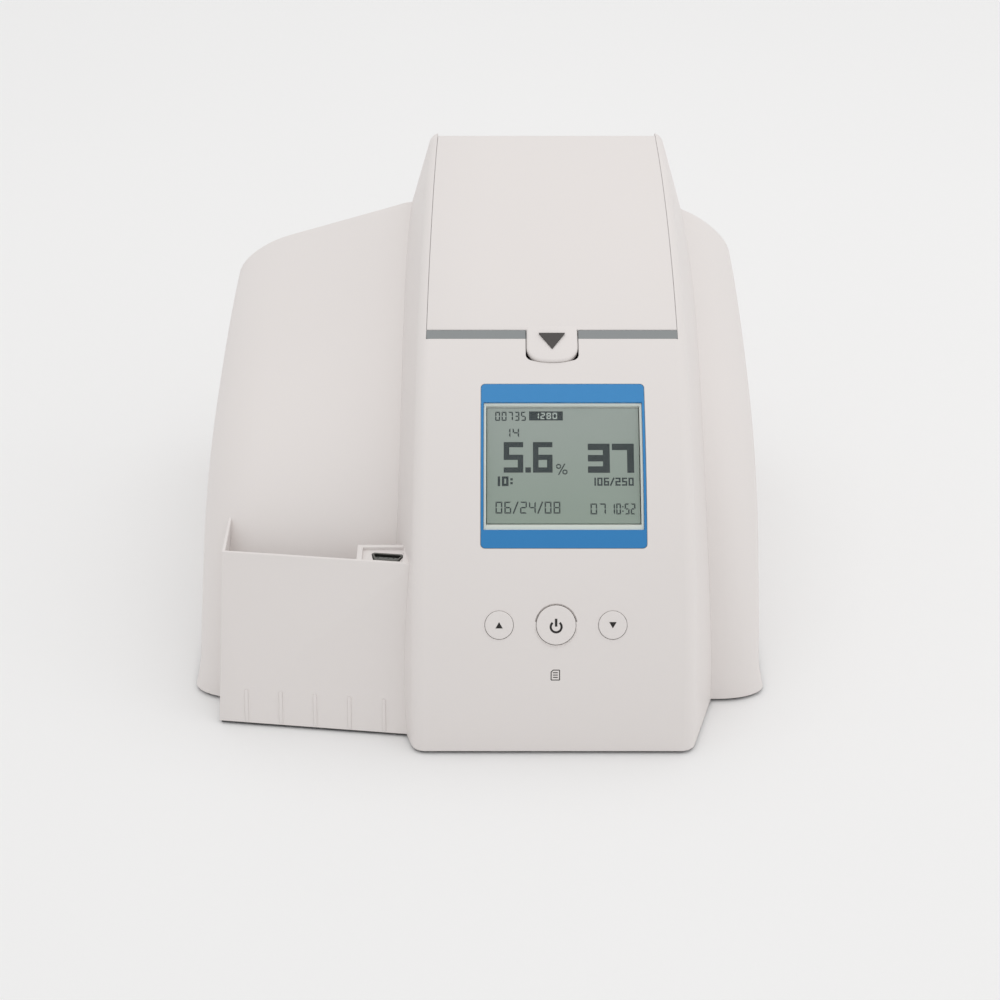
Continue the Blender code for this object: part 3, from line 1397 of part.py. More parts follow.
def make_main_board(board):
    xs, runs = main_board_corners()
    main_board = run_box("main_board", xs, runs, (MAIN_BOARD_HEIGHT, MAIN_BOARD_HEIGHT + BOARD_THICKNESS), board)
    top = MAIN_BOARD_HEIGHT + BOARD_THICKNESS
    chips = ((0.017, 0.019, 0.014, 0.014, 0.0024), (0.047, 0.029, 0.020, 0.012, 0.003),
             (0.057, 0.064, 0.010, 0.026, 0.008), (0.025, 0.064, 0.016, 0.016, 0.006))
    for index, (across, along, wide, deep, tall) in enumerate(chips):
        x = xs[0] + across
        run = runs[0] + along
        chip = run_box(
            f"chip_{index + 1}", (x - wide / 2, x + wide / 2), (run - deep / 2, run + deep / 2),
            (top - mm(0.4), top + tall))
        fuse(main_board, chip)


def make_sockets(black, metal):
    base = socket_base()
    back = BODY_DEPTH - base * BACK_DRAFT - SOCKET_SET_IN
    jack = run_box(
        "power_jack", (JACK_X - JACK_SIZE[0] / 2, JACK_X + JACK_SIZE[0] / 2), (back - JACK_SIZE[1], back),
        (base, base + JACK_SIZE[2]), black)
    centre = base + JACK_SIZE[2] / 2
    bore = rod(
        "jack_bore", JACK_BORE_RADIUS, world(JACK_X, back - mm(9.5), centre),
        world(JACK_X, back + mm(1), centre), segments=24)
    pin = rod(
        "jack_pin", JACK_PIN_RADIUS, world(JACK_X, back - mm(10), centre),
        world(JACK_X, back - mm(0.8), centre), segments=12)
    cut(jack, bore)
    fuse(jack, pin)
    port = run_box(
        "data_port", (PORT_X - PORT_SIZE[0] / 2, PORT_X + PORT_SIZE[0] / 2), (back - PORT_SIZE[1], back),
        (base, base + PORT_SIZE[2]), metal)
    half = PORT_SIZE[0] / 2 - PORT_WALL
    space = run_box(
        "port_space", (PORT_X - half, PORT_X + half), (back - mm(9), back + mm(1)),
        (base + PORT_WALL, base + PORT_SIZE[2] - PORT_WALL))
    tongue = run_box(
        "port_tongue", (PORT_X - mm(2.8), PORT_X + mm(2.8)), (back - mm(10), back - mm(1)),
        (base + mm(4.0), base + mm(7.2)))
    cut(port, space)
    fuse(port, tongue)


def main():
    global parts, cutters
    for obj in list(bpy.data.objects):
        bpy.data.objects.remove(obj)
    parts = bpy.data.collections.new("glycohemoglobin_analyzer")
    cutters = bpy.data.collections.new("cutters")
    bpy.context.scene.collection.children.link(parts)
    bpy.context.scene.collection.children.link(cutters)
    casing = make_material("warm_white_plastic", (0.72, 0.69, 0.67), 0.45)
    grey = make_material("grey_plastic", (0.27, 0.30, 0.31), 0.5)
    dark = make_material("dark_plastic", (0.03, 0.03, 0.032), 0.5)
    blue = make_material("blue_film", (0.07, 0.24, 0.52), 0.35)
    clear = make_material("clear_acrylic", (0.9, 0.92, 0.92), 0.05)
    white = make_material("pale_frame", (0.55, 0.66, 0.64), 0.5)
    glass = make_material("lcd_glass", (0.31, 0.37, 0.33), 0.2)
    steel = make_material("steel", (0.5, 0.5, 0.5), 0.3, 1.0)
    rubber = make_material("rubber", (0.03, 0.03, 0.03), 0.8)
    silicone = make_material("silicone", (0.6, 0.6, 0.58), 0.6)
    board = make_material("circuit_board", (0.02, 0.14, 0.06), 0.5)
    acetal = make_material("acetal", (0.75, 0.74, 0.68), 0.4)
    make_upper_housing(casing)
    make_bottom_cover(casing, rubber, steel)
    make_lid(casing, grey, steel)
    make_deck(grey)
    make_drum(dark, acetal, steel)
    make_drive(acetal, steel, steel)
    make_chassis(steel)
    make_optics(dark, clear)
    make_display(blue, clear, white, glass, board)
    make_keys(casing, silicone, board)
    make_dock(steel, dark, board)
    make_main_board(board)
    make_sockets(dark, steel)


if __name__ == "__main__":
    main()
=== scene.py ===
import math

import bmesh
import bpy
from mathutils import Matrix, Vector

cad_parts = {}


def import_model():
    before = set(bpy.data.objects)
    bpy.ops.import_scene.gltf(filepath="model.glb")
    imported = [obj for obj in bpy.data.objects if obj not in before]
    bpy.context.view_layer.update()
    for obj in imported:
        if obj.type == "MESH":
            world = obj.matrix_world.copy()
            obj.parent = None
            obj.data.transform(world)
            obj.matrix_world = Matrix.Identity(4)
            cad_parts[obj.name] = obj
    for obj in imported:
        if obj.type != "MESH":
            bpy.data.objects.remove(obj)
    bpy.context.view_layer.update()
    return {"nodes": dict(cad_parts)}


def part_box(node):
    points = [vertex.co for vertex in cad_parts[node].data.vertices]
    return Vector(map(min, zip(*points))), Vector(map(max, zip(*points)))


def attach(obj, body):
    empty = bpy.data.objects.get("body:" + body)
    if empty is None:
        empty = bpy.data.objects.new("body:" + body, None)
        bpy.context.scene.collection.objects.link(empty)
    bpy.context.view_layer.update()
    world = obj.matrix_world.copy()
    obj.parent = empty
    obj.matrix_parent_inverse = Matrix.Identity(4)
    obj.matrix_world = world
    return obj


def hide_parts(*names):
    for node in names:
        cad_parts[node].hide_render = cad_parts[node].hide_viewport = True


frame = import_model()

bl_info = {
    "name": "Desktop Blood Analyzer",
    "version": (1, 0, 0),
    "blender": (4, 5, 0),
    "location": "3D View > Sidebar > Analyzer",
    "description": "Finishes and fine detail for a desktop blood analyzer with a curved tower",
    "category": "Object",
}

# Sizes are in metres and follow those of the solids. A run goes back from the tower's foot, a length goes up its
# face along the curve, and a depth goes in from the face.
BODY_DEPTH = 0.217
BODY_HALF_WIDTH = 0.0990
FRONT_Y = -BODY_DEPTH / 2
FLOOR_GAP = 0.0012
WALL = 0.0022
FIT = 0.0003
# The tower.
TOWER_X = 0.0250
TOWER_HEIGHT = 0.1380
TOWER_HANDLES = (0.070, 0.125)
TOWER_HALF_WIDTH = 0.0466
TOWER_FLARE = math.radians(17)
TOWER_TAPER = 0.06
TOWER_EDGE_RADIUS = 0.005
TOWER_SIDE_DEPTH = 0.046
CROWN_RADIUS = 0.008
BACK_DRAFT = 0.007
FOOT_ANGLE = math.radians(86)
CURVE_STEPS = 1200
CROWN_RUN = BODY_DEPTH - CROWN_RADIUS - TOWER_HEIGHT * BACK_DRAFT
# The wings; a pair of values is for the left and the right one.
WING_SETBACK = 0.0295
WING_HEIGHT = 0.1150
WING_HANDLES = (0.058, 0.130)
WING_RADII = (0.0195, 0.016)
WING_FALLS = (0.30, 0.48)
WING_FALL_BENDS = (1.5, 2.0)
WING_FALL_START = 0.035
WING_DRAFTS = (0.020, 0.002)
WING_FLAT_START = 0.030
WING_BACK_RADIUS_RATIO = 0.55
CORNER_FADE = 0.3
WING_CORNER_AT_FLOOR = 0.5
WING_CORNER_AT_CROWN = 0.6
# The flare at the floor, and a near-black rim under the casing's edge that stands in for the shadow gap there as
# painted shade.
SKIRT_HEIGHT = 0.012
SKIRT_FLARE = 0.0018
SHADE_RIM_SET_IN = 0.0007
SHADE_RIM_WIDTH = 0.0016
SHADE_RIM_BASE = 0.0005
# The printer bay, and the shelf with the docking connector in its right corner.
BAY_LEFT_X = -0.0886
BAY_LEFT_DRAFT = 0.043
BAY_RIGHT_X = -0.0233
BAY_FRONT_RUN = 0.0088
BAY_TURN = 0.121
BAY_LEAN = math.radians(18.2)
BAY_RIM_HEIGHT = 0.0578
BAY_WALL = 0.0011
BAY_FLOOR = 0.0026
BAY_ROOT = 0.040
BAY_RIBS = [-0.0790 + 0.01175 * index for index in range(5)]
BAY_RIB_TOP = 0.0125
SHELF_LEFT_X = -0.0408
SHELF_BACK_RUN = 0.0400
SHELF_RECESS = 0.0010
SHELF_RIM = 0.0019
DOCK_X = -0.0306
DOCK_RUN = 0.0332
DOCK_HALVES = (0.00525, 0.0021)
# The display; its rows are lengths up the face.
BEZEL_ROWS = (0.0711, 0.1293)
WINDOW_ROWS = (0.0772, 0.1224)
VIEW_ROWS = (0.0788, 0.1214)
DISPLAY_X = 0.0283
BEZEL_WIDTH = 0.0549
VIEW_WIDTH = 0.0515
FRAME_LIP = 0.0006
SEGMENT_GAP = 0.00007
BOLD_STROKE = 0.0005
BEZEL_THICKNESS = 0.0008
# The buttons: the middle and the radius of each, and the section of their caps.
BUTTON_ROW = 0.0457
BUTTONS = {"up": (0.0069, 0.00466), "mode": (0.0257, 0.0065), "down": (0.0444, 0.00466)}
CAP_SEAT = -0.0027
CAP_TOP = 0.0004
CAP_DOME = 0.00008
BUTTON_GAP = 0.00013
BUTTON_SAG = 0.00004
ARC_SLOT_WIDTH = 0.00042
# The lid, its finger tab and the band below it, as lengths up the face.
TAB_TIP = 0.1380
FACE_END = 0.1478
LID_START = 0.1517
LID_THICKNESS = 0.0022
LID_HALF_WIDTHS = (0.0428, 0.0414)
HINGE_RUN = 0.2050
TAB_HALF_WIDTH = 0.0088
TAB_CORNER = 0.0044
TAB_NOTCH_CORNER = 0.0016
TAB_BULGE = 0.0017
TAB_GAP = 0.00022
TAB_PROUD = 0.0009
LID_SEAM = 0.0001
BAND_SINK = 0.00015
PIN_BORE = 0.00165
# Printed signs.
ARROW = ((0.0205, 0.1497), (0.0250, 0.1430), (0.0294, 0.1497))
ARROW_TONE = 2.9
PAGE_PLACE = (0.0255, 0.0289)
READING_TOP = 0.00002
# Points closer than this are one.
SAME_PLACE = 1e-7
# Name, place, target, size and power of each lamp.
LAMPS = (
    ("overhead", (0.1, 0.25, 1.35), (0.05, 0.05, 0.05), 1.6, 4.2),
    ("right_side", (1.4, -0.2, 0.8), (0.0, 0.0, 0.06), 1.2, 1.6))
# The display's readings are placed by the picture's columns and rows.
MIDDLE_COLUMN = 563.15
MIDDLE_ROW = 464.75
COLUMN_WIDTH = 0.0003335
ROW_HEIGHT = 0.000354
# Middle, width and height of each rear socket.
SOCKETS = ((-0.0660, 0.0100, 0.0110), (-0.0380, 0.0124, 0.0112))
SOCKET_BASE = 0.0114


def eased_levels(count, power=1.12):
    """Shares from 0 to 1, closer together near the floor."""
    return [(step / count) ** power for step in range(count + 1)]


def mm(value):
    """Millimetres as metres."""
    return value / 1000


class SideCurve:
    """Front and top of a body as one cubic curve of run and height."""

    def __init__(self, foot_run, height, handles):
        foot = Vector((foot_run, 0.0))
        crown = Vector((CROWN_RUN, height))
        reach = Vector((math.cos(FOOT_ANGLE), math.sin(FOOT_ANGLE))) * handles[0]
        self.points = (foot, foot + reach, crown - Vector((handles[1], 0.0)), crown)
        self.height = height
        self.lengths = [0.0]
        last = self.at(0.0)
        for index in range(1, CURVE_STEPS + 1):
            point = self.at(index / CURVE_STEPS)
            self.lengths.append(self.lengths[-1] + (point - last).length)
            last = point

    def at(self, t):
        a, b, c, d = self.points
        u = 1 - t
        return a * u ** 3 + b * (3 * u * u * t) + c * (3 * u * t * t) + d * t ** 3

    def direction(self, t):
        a, b, c, d = self.points
        u = 1 - t
        return ((b - a) * (u * u) + (c - b) * (2 * u * t) + (d - c) * (t * t)).normalized()

    def inset(self, t, depth):
        along = self.direction(t)
        return self.at(t) + Vector((along.y, -along.x)) * depth

    def t_at_length(self, length):
        for index, reached in enumerate(self.lengths):
            if reached >= length:
                start = max(index - 1, 0)
                before = self.lengths[start]
                return (start + (length - before) / max(reached - before, 1e-9)) / CURVE_STEPS
        return 1.0

    def length_at_run(self, run):
        for index, reached in enumerate(self.lengths):
            if self.at(index / CURVE_STEPS).x >= run:
                return reached
        return self.lengths[-1]


TOWER = SideCurve(0.0, TOWER_HEIGHT, TOWER_HANDLES)
WING = SideCurve(WING_SETBACK, WING_HEIGHT, WING_HANDLES)


def world(x, run, height):
    return Vector((x, FRONT_Y + run, height))


def face_point(x, length, depth):
    return world(x, *TOWER.inset(TOWER.t_at_length(length), depth))


def face_frame(x, length):
    """Matrix of a flat frame on the tower's face: X across, Y up the face, Z outward."""
    along = TOWER.direction(TOWER.t_at_length(length))
    axes = (Vector((1, 0, 0)), Vector((0, along.x, along.y)), Vector((0, -along.y, along.x)))
    return Matrix.Translation(face_point(x, length, 0)) @ Matrix(axes).transposed().to_4x4()


class Field:
    """A shader socket that takes part in Python expressions."""

    def __init__(self, graph, socket):
        self.graph = graph
        self.socket = socket

    def math(self, operation, other):
        return self.graph.field("ShaderNodeMath", {"operation": operation}, {0: self, 1: other})

    def __add__(self, other):
        return self.math("ADD", other)

    def __mul__(self, other):
        return self.math("MULTIPLY", other)

    def step(self, low, high):
        """0 below low, 1 above high, with a soft change between them."""
        return self.graph.field(
            "ShaderNodeMapRange", {"interpolation_type": "SMOOTHSTEP"},
            {"Value": self, "From Min": low, "From Max": high})


class Graph:
    """A new material and its nodes, added one call at a time."""

    def __init__(self, name):
        self.material = bpy.data.materials.new(name)
        self.material.use_nodes = True
        self.tree = self.material.node_tree
        self.shader = self.tree.nodes["Principled BSDF"]

    def feed(self, socket, value):
        if isinstance(value, Field):
            self.tree.links.new(value.socket, socket)
        elif isinstance(value, tuple) and len(value) == 3 and socket.type == "RGBA":
            socket.default_value = (*value, 1.0)
        else:
            socket.default_value = value

    def field(self, kind, settings, sockets, output=0):
        node = self.tree.nodes.new(kind)
        for name, value in settings.items():
            setattr(node, name, value)
        for name, value in sockets.items():
            self.feed(node.inputs[name], value)
        return Field(self, node.outputs[output])

    def position(self):
        return self.field("ShaderNodeTexCoord", {}, {}, "Object")

    def height(self):
        return self.field("ShaderNodeSeparateXYZ", {}, {0: self.position()}, 2)

    def noise(self, scale, detail=2.0, vector=None):
        return self.field(
            "ShaderNodeTexNoise", {}, {"Vector": vector or self.position(), "Scale": scale, "Detail": detail})

    def blend(self, factor, first, second):
        return self.field("ShaderNodeMix", {"data_type": "RGBA"}, {"Factor": factor, 6: first, 7: second}, 2)

    def set_shader(self, **sockets):
        """Feed the shader's sockets and return the material."""
        for name, value in sockets.items():
            self.feed(self.shader.inputs[name.replace("_", " ")], value)
        return self.material

    def relief(self, height, distance, strength, edge=None):
        """Bump from a height field, on top of softly rounded edges."""
        sockets = {"Height": height, "Distance": distance, "Strength": strength}
        if edge:
            sockets["Normal"] = self.field("ShaderNodeBevel", {"samples": 4}, {"Radius": edge})
        return self.set_shader(Normal=self.field("ShaderNodeBump", {}, sockets))


def scaled(colour, factor):
    return tuple(min(channel * factor, 1.0) for channel in colour)


def moulded_plastic(name, colour, roughness=0.42, grain=1.0, edge=mm(0.25)):
    """Injection-moulded plastic: fine spark-eroded grain, slow colour drift and soft edges."""
    graph = Graph(name)
    drift = graph.noise(14.0, 3.0)
    fine = graph.noise(5200.0)
    coarse = graph.noise(1500.0)
    handled = graph.noise(60.0, 4.0).step(0.35, 0.75)
    graph.set_shader(
        Base_Color=graph.blend(drift, scaled(colour, 0.985), scaled(colour, 1.015)),
        Roughness=fine * 0.08 + (handled * 0.05 + (roughness - 0.06)), IOR=1.5, Specular_IOR_Level=0.42)
    return graph.relief(fine * 0.6 + coarse * 0.4, mm(0.016) * grain, 0.5, edge)


def moulded_rubber(name, colour):
    graph = Graph(name)
    grain = graph.noise(2600.0, 3.0)
    dust = graph.noise(160.0, 4.0).step(0.5, 0.8)
    graph.set_shader(Base_Color=graph.blend(dust, colour, scaled(colour, 2.2)), Roughness=grain * 0.15 + 0.68)
    return graph.relief(grain, mm(0.05), 0.6, mm(0.2))


def worked_metal(name, colour, roughness, brushed=True):
    """Sheet or turned metal with fine brushing or a tumbled surface."""
    graph = Graph(name)
    stretch = (1.0, 1.0, 0.04) if brushed else (1.0, 1.0, 1.0)
    vector = graph.field("ShaderNodeVectorMath", {"operation": "MULTIPLY"}, {0: graph.position(), 1: stretch})
    lines = graph.noise(3000.0, 3.0, vector)
    cloud = graph.noise(90.0, 3.0)
    graph.set_shader(
        Base_Color=graph.blend(cloud, scaled(colour, 0.93), scaled(colour, 1.05)), Metallic=1.0,
        Roughness=lines * 0.16 + (cloud * 0.06 + (roughness - 0.1)))
    return graph.relief(lines, mm(0.01), 0.4, mm(0.15))


def printed_film(name, shaded_low_colour, lit_top_colour):
    """Screen-printed polyester film: faint mottling in the ink under a smooth skin, lighter towards the top as
    painted light.
    """
    graph = Graph(name)
    mottle = graph.noise(420.0, 4.0)
    # The blend by height is painted light: the ink is lighter at the top and darker lower down.
    ink = graph.blend(graph.height().step(0.064, 0.103), shaded_low_colour, lit_top_colour)
    graph.set_shader(
        Base_Color=graph.blend(mottle * 0.25, ink, scaled(shaded_low_colour, 0.9)), Roughness=mottle * 0.05 + 0.36,
        Specular_IOR_Level=0.3)
    return graph.relief(graph.noise(1800.0), mm(0.006), 0.4, mm(0.12))


def clear_pane(name):
    """Thin clear window with a faint gloss and a trace of haze."""
    graph = Graph(name)
    haze = graph.noise(240.0, 4.0)
    return graph.set_shader(
        Base_Color=(0.93, 0.96, 0.95), Roughness=haze * 0.04 + 0.05, Alpha=haze * 0.012 + 0.006)


def reflective_lcd(name, lit_top_colour, shaded_low_colour):
    """Grey-green liquid crystal cell with its faint cell pitch, lighter towards the top as painted light."""
    graph = Graph(name)
    cells = graph.noise(5200.0, 1.0)
    cloud = graph.noise(70.0, 3.0)
    # The blend by height is painted light: the cell is lighter at the top and darker lower down.
    colour = graph.blend(graph.height().step(0.066, 0.1), shaded_low_colour, lit_top_colour)
    colour = graph.blend(cells * 0.12 + cloud * 0.1, colour, scaled(shaded_low_colour, 0.86))
    return graph.set_shader(Base_Color=colour, Roughness=cloud * 0.06 + 0.34, Specular_IOR_Level=0.3)


def solder_resist(name, colour):
    """Green board: copper tracks under resist, seen as slightly raised, lighter paths."""
    graph = Graph(name)
    track = graph.field(
        "ShaderNodeTexBrick", {"offset": 0.5},
        {"Vector": graph.position(), "Scale": 260.0, "Mortar Size": 0.08, "Color1": (1, 1, 1),
         "Color2": (0.6, 0.6, 0.6), "Mortar": (0, 0, 0)})
    mask = graph.field("ShaderNodeRGBToBW", {}, {0: track})
    graph.set_shader(
        Base_Color=graph.blend(mask, scaled(colour, 1.7), colour), Roughness=mask * 0.1 + 0.3, Coat_Weight=0.3)
    return graph.relief(mask, mm(0.03), 0.5)


def flat_ink(name, colour):
    """Pad-printed ink with a slightly uneven film."""
    graph = Graph(name)
    film = graph.noise(900.0, 3.0)
    return graph.set_shader(
        Base_Color=graph.blend(film, scaled(colour, 0.92), scaled(colour, 1.1)), Roughness=film * 0.15 + 0.5,
        Specular_IOR_Level=0.12)


def floor_paint(colour):
    graph = Graph("pale_floor")
    cloud = graph.noise(3.0)
    return graph.set_shader(
        Base_Color=graph.blend(cloud, scaled(colour, 0.99), scaled(colour, 1.01)), Roughness=0.6,
        Specular_IOR_Level=0.2)


def add_piece(name, bm):
    """A new object from a bmesh."""
    bmesh.ops.recalc_face_normals(bm, faces=bm.faces)
    mesh = bpy.data.meshes.new(name)
    bm.to_mesh(mesh)
    bm.free()
    obj = bpy.data.objects.new(name, mesh)
    bpy.context.scene.collection.objects.link(obj)
    return obj


def apply_modifiers(obj):
    """Replace an object's mesh by its evaluated one, and clear its modifiers."""
    graph = bpy.context.evaluated_depsgraph_get()
    mesh = bpy.data.meshes.new_from_object(obj.evaluated_get(graph))
    old = obj.data
    obj.modifiers.clear()
    obj.data = mesh
    bpy.data.meshes.remove(old)
    mesh.name = obj.name
    return obj


def combine(target, operation, *tools):
    """Apply a Boolean with each tool, then remove the tools."""
    for tool in tools:
        modifier = target.modifiers.new(tool.name, "BOOLEAN")
        modifier.operation = operation
        modifier.solver = "MANIFOLD"
        modifier.object = tool
    apply_modifiers(target)
    for tool in tools:
        bpy.data.objects.remove(tool)
    return target


def soften(obj, width, segments):
    """Bevel every edge that is sharper than 40 degrees."""
    modifier = obj.modifiers.new("Soft edges", "BEVEL")
    modifier.width = width
    modifier.segments = segments
    modifier.limit_method = "ANGLE"
    modifier.angle_limit = math.radians(40)
    return apply_modifiers(obj)


def block(name, low, high):
    bm = bmesh.new()
    bmesh.ops.create_cube(bm, size=1)
    bmesh.ops.scale(bm, vec=Vector(high) - Vector(low), verts=bm.verts)
    bmesh.ops.translate(bm, vec=(Vector(low) + Vector(high)) / 2, verts=bm.verts)
    return add_piece(name, bm)


def run_block(name, xs, runs, heights):
    return block(name, *[world(*corner) for corner in zip(xs, runs, heights)])


def turned(name, profile, segments, matrix):
    """A turned solid about local Z from (radius, height) points; ends on the axis are closed."""
    bm = bmesh.new()
    rings = []
    for radius, height in profile:
        if radius < SAME_PLACE:
            rings.append([bm.verts.new((0, 0, height))])
            continue
        ring = []
        for index in range(segments):
            angle = 2 * math.pi * index / segments
            ring.append(bm.verts.new((radius * math.cos(angle), radius * math.sin(angle), height)))
        rings.append(ring)
    for low, high in zip(rings, rings[1:]):
        for index in range(segments):
            follow = (index + 1) % segments
            if len(low) == 1:
                bm.faces.new((low[0], high[index], high[follow]))
            elif len(high) == 1:
                bm.faces.new((low[index], low[follow], high[0]))
            else:
                bm.faces.new((low[index], low[follow], high[follow], high[index]))
    bmesh.ops.transform(bm, matrix=matrix, verts=bm.verts)
    return add_piece(name, bm)


def cylinder(name, radius, low, high, segments, matrix):
    return turned(name, ((0, low), (radius, low), (radius, high), (0, high)), segments, matrix)


def prisms(name, outlines, bottom, top, matrix=None):
    """One mesh of flat outlines, each raised between two local heights."""
    bm = bmesh.new()
    for outline in outlines:
        rings = [[bm.verts.new((x, y, z)) for x, y in outline] for z in (bottom, top)]
        for index in range(len(outline)):
            follow = (index + 1) % len(outline)
            bm.faces.new((rings[0][index], rings[0][follow], rings[1][follow], rings[1][index]))
        bm.faces.new(rings[0])
        bm.faces.new(reversed(rings[1]))
    if matrix is not None:
        bmesh.ops.transform(bm, matrix=matrix, verts=bm.verts)
    return add_piece(name, bm)


def prism(name, outline, bottom, top, matrix=None):
    return prisms(name, [outline], bottom, top, matrix)


def on_face(obj):
    """Bend a flat piece of (x, length, depth) points onto the tower's curve, cut into short rows."""
    pitch = mm(1.5)
    bm = bmesh.new()
    bm.from_mesh(obj.data)
    low = min(vertex.co.y for vertex in bm.verts)
    high = max(vertex.co.y for vertex in bm.verts)
    for index in range(1, math.ceil((high - low) / pitch)):
        bmesh.ops.bisect_plane(
            bm, geom=bm.verts[:] + bm.edges[:] + bm.faces[:], dist=SAME_PLACE,
            plane_co=(0, low + pitch * index, 0), plane_no=(0, 1, 0))
    for vertex in bm.verts:
        vertex.co = face_point(*vertex.co)
    bmesh.ops.recalc_face_normals(bm, faces=bm.faces)
    bm.to_mesh(obj.data)
    bm.free()
    return obj


def arc_points(centre, radius, start, end, steps):
    points = []
    for step in range(steps + 1):
        angle = start + (end - start) * step / steps
        points.append((centre[0] + radius * math.cos(angle), centre[1] + radius * math.sin(angle)))
    return points


def rounded_rectangle(low, high, radius, steps=6):
    centres = (
        (high[0] - radius, high[1] - radius), (low[0] + radius, high[1] - radius),
        (low[0] + radius, low[1] + radius), (high[0] - radius, low[1] + radius))
    points = []
    for corner, centre in enumerate(centres):
        points += arc_points(centre, radius, math.pi / 2 * corner, math.pi / 2 * (corner + 1), steps)
    return points


def ladder(name, stations):
    """A closed loft through stations, each a bottom-to-top list of (front, back) points."""
    bm = bmesh.new()
    rungs = []
    for pairs in stations:
        front = [bm.verts.new(pair[0]) for pair in pairs]
        back = [bm.verts.new(pair[1]) for pair in pairs[:-1]]
        meets = (pairs[-1][0] - pairs[-1][1]).length < SAME_PLACE
        back.append(front[-1] if meets else bm.verts.new(pairs[-1][1]))
        rungs.append((front, back))
    for (front_a, back_a), (front_b, back_b) in zip(rungs, rungs[1:]):
        for low in range(len(front_a) - 1):
            bm.faces.new((front_a[low], front_a[low + 1], front_b[low + 1], front_b[low]))
            bm.faces.new((back_a[low], back_b[low], back_b[low + 1], back_a[low + 1]))
        bm.faces.new((front_a[0], front_b[0], back_b[0], back_a[0]))
        if front_a[-1] is not back_a[-1]:
            bm.faces.new((front_a[-1], back_a[-1], back_b[-1], front_b[-1]))
    for front, back in (rungs[0], rungs[-1]):
        for low in range(len(front) - 1):
            corners = [front[low], front[low + 1], back[low + 1], back[low]]
            if front[low + 1] is back[low + 1]:
                corners.remove(back[low + 1])
            bm.faces.new(corners)
    return add_piece(name, bm)


def ease(share):
    """A share from 0 to 1 with a soft start and end."""
    share = min(max(share, 0.0), 1.0)
    return share * share * (3 - 2 * share)


def corner_ease(t):
    """Share of a wing corner's radius at a place up the front curve."""
    foot = ease(t / CORNER_FADE)
    crown = ease((t - (1 - CORNER_FADE)) / CORNER_FADE)
    return WING_CORNER_AT_FLOOR + (1 - WING_CORNER_AT_FLOOR) * foot - (1 - WING_CORNER_AT_CROWN) * crown


def body_pairs(curve, levels, depth, back_depth, base, inset, warp, corner_share=None):
    """Front and back points of one station, up to where its front curve meets its back wall."""
    top = curve.height - inset - (depth - inset) * (corner_share(1.0) if corner_share else 1.0)
    corner = CROWN_RADIUS - inset

    def back_run(height):
        above = min(max(height - (top - corner), 0.0), corner)
        return BODY_DEPTH - back_depth - height * BACK_DRAFT - corner + math.sqrt(corner ** 2 - above ** 2)

    def front_point(t):
        return curve.inset(t, inset + (depth - inset) * corner_share(t) if corner_share else depth)

    low, end = 0.5, 1.0
    if front_point(end).x > back_run(top):
        for _ in range(40):
            middle = (low + end) / 2
            point = front_point(middle)
            if point.x < back_run(point.y):
                low = middle
            else:
                end = middle
    pairs = []
    for level, share in enumerate(levels):
        point = front_point(share * end)
        height = max(point.y, base + mm(0.02) * level) if level else base
        back = point.x if share == levels[-1] else max(back_run(height), point.x)
        pairs.append((warp(point.x, height), warp(back, height)))
    return pairs


def taper_at(run):
    """Share of its front width that the tower has at a run."""
    return 1 - TOWER_TAPER * run / BODY_DEPTH


def wing_warp(x):
    """How a station of the wings falls away from the tower, leans in and flares at the floor."""
    side = 0 if x < 0 else 1
    fall = max(abs(x - TOWER_X) - WING_FALL_START, 0.0) * WING_FALLS[side] / WING_HEIGHT

    def warp(run, height):
        skirt = min(max(SKIRT_HEIGHT - height, 0.0) / (SKIRT_HEIGHT - FLOOR_GAP), 1.0)
        spread = 1 - WING_DRAFTS[side] * height / BODY_HALF_WIDTH + SKIRT_FLARE / BODY_HALF_WIDTH * skirt ** 1.5
        share = max(height, 0.0) / WING_HEIGHT
        return world(x * spread, run, height * (1 - fall * share ** WING_FALL_BENDS[side]))

    return warp


def wing_loft(name, inset, base, levels, arc_steps):
    """Both wings with their front corners, drawn in by an inset."""
    stations = []
    for side, radius in zip((-1, 1), WING_RADII):
        flat_end = BODY_HALF_WIDTH - SKIRT_FLARE - radius
        flat = flat_end - WING_FLAT_START
        half = [(side * (WING_FLAT_START + flat * share), inset) for share in (0, 0.25, 0.5, 0.75)]
        for step in range(arc_steps + 1):
            angle = math.pi / 2 * step / arc_steps
            x = flat_end + (radius - inset) * math.sin(angle)
            half.append((side * x, radius - (radius - inset) * math.cos(angle)))
        stations.extend(reversed(half) if side < 0 else half)
    return ladder(name, [
        body_pairs(
            WING, levels, depth, inset + (depth - inset) * WING_BACK_RADIUS_RATIO, base, inset, wing_warp(x),
            corner_ease)
        for x, depth in stations])


def tower_loft(name, inset, base, levels, arc_steps):
    """The tower with its front edges and flared sides, drawn in by an inset."""
    tangent = math.tan(TOWER_FLARE)
    cosine = math.cos(TOWER_FLARE)
    edge_x = TOWER_HALF_WIDTH + TOWER_EDGE_RADIUS * (tangent - 1 / cosine)
    radius = TOWER_EDGE_RADIUS - inset
    half = [(edge_x * 0.5, inset)]
    for step in range(arc_steps + 1):
        angle = (math.pi / 2 - TOWER_FLARE) * step / arc_steps
        half.append((edge_x + radius * math.sin(angle), TOWER_EDGE_RADIUS - radius * math.cos(angle)))
    start_x, start_depth = half[-1]
    end_x = TOWER_HALF_WIDTH + TOWER_SIDE_DEPTH * tangent - inset / cosine
    for share in (0.25, 0.5, 0.75, 1.0):
        half.append((start_x + (end_x - start_x) * share, start_depth + (TOWER_SIDE_DEPTH - start_depth) * share))
    stations = [(-x, depth) for x, depth in reversed(half)] + half
    return ladder(name, [
        body_pairs(
            TOWER, levels, depth, inset, base, inset,
            lambda run, height, x=x: world(TOWER_X + x * taper_at(run), run, height))
        for x, depth in stations])


def bay_front(x, height):
    """Run of the bay's front wall, which is turned a little and leans back."""
    return BAY_FRONT_RUN + (BAY_RIGHT_X - x) * BAY_TURN + height * math.tan(BAY_LEAN)


